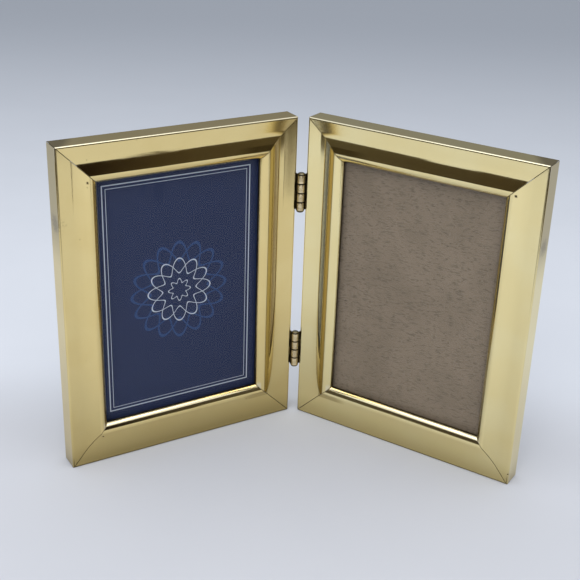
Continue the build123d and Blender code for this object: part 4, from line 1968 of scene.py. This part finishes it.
def panel_brass(left: PhotoFrame, right: PhotoFrame) -> dict[Side, PolishedBrass]:
    """The mouldings' brass as a shaded and a lit copy: painted warmer and darker on the left frame,
    painted paler on the right one.

    Args:
        left: The left frame.
        right: The right frame.

    Returns:
        The finish of each frame's rails.
    """
    stains = (
        Stain(tuple(left.axes.place(101.0, 0.15, 136.0)), 0.75),
        Stain(tuple(right.axes.place(101.2, 0.15, 137.2)), 0.85),
        Stain(tuple(left.axes.place(99.0, 0.35, 12.2)), 0.6),
        Stain(tuple(right.axes.place(113.9, 0.3, 5.6)), 0.6),
        Stain(tuple(left.axes.place(114.3, 4.6, 119.0)), 5.2, 0.45),
        Stain(tuple(right.axes.place(114.3, 4.8, 116.0)), 4.6, 0.45),
    )
    # one brass in two copies: the right frame's is painted brighter, as if better lit, and the two
    # take different shares of painted shade
    return {
        Side.LEFT: PolishedBrass(
            "left_polished_brass",
            bright=(0.925, 0.745, 0.340),
            deep=(0.885, 0.695, 0.300),
            foot_shade=0.72,
            wall_shade=0.35,
            moulding=left.moulding,
            stains=stains,
        ),
        Side.RIGHT: PolishedBrass(
            "right_polished_brass",
            bright=(0.985, 0.855, 0.455),
            deep=(0.965, 0.815, 0.405),
            foot_shade=0.45,
            wall_shade=0.25,
            moulding=right.moulding,
            stains=stains,
        ),
    }


def build_leaf_rivets(
    hinges: list[ButtHinge], pins: dict[Side, LocalAxes], finish: bpy.types.Material
) -> None:
    """Makes the rivets that hold the leaves, one piece for each frame.

    Args:
        hinges: Both hinges.
        pins: Axes from the pin, along each frame.
        finish: Finish of the rivets.
    """
    for side, axes in pins.items():
        node = f"{side.value}_leaf_rivets"
        rivets = Shell.joined([shell for hinge in hinges for shell in hinge.rivets(axes)])
        piece = rivets.piece(f"{node}_sunk", side.body, Slot.RIVETS, finish)
        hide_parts(node)


def main() -> None:
    """Loads the frame, builds and dresses each sub-assembly, then lights it."""
    logging.basicConfig(level=logging.INFO, format="%(message)s")
    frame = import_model()
    fold = next(j for j in frame["joints"] if j["name"] == "panel_fold")
    pin = np.array(fold["pos_m"], float) / MM
    pins = {side: frame_axes(frame["joints"], side, pin) for side in Side}
    hinges = [ButtHinge("lower", bottom=27.0), ButtHinge("upper", bottom=108.6)]
    offset, depth = hinges[0].leaf_offset, hinges[0].axis_to_face
    frames = {side: PhotoFrame(side, axes.shifted(offset, depth)) for side, axes in pins.items()}

    moulding_brass = panel_brass(frames[Side.LEFT], frames[Side.RIGHT])
    leaf_brass = WornBrass("hinge_brass", (0.90, 0.74, 0.45), (0.64, 0.52, 0.30), 0.16).material()
    pin_brass = WornBrass("pin_brass", (0.20, 0.18, 0.13), (0.10, 0.09, 0.06), 0.12).material()
    plate_brass = WornBrass("button_brass", (0.74, 0.60, 0.31), (0.56, 0.43, 0.20), 0.22).material()
    rivet_brass = WornBrass("rivet_brass", (0.72, 0.58, 0.30), (0.50, 0.38, 0.18), 0.2).material()
    steel = ZincSteel().material()
    glass = ClearGlass().material()

    for side, panel in frames.items():
        place, turn = panel.axes.mapping(panel.centre())
        panel.build_rails(moulding_brass[side].material())
        panel.build_buttons(plate_brass, rivet_brass)
        panel.build_pane(glass)
        panel.build_velour(Velour(place, turn, f"{side.value}_navy_velour").material())
        panel.dress_solids(frame["nodes"], steel)
    for hinge in hinges:
        hinge.build(pins, leaf_brass, pin_brass)
    build_leaf_rivets(hinges, pins, rivet_brass)

    Studio().build()
    PhotoCamera().build(pin)


if __name__ == "__main__":
    main()
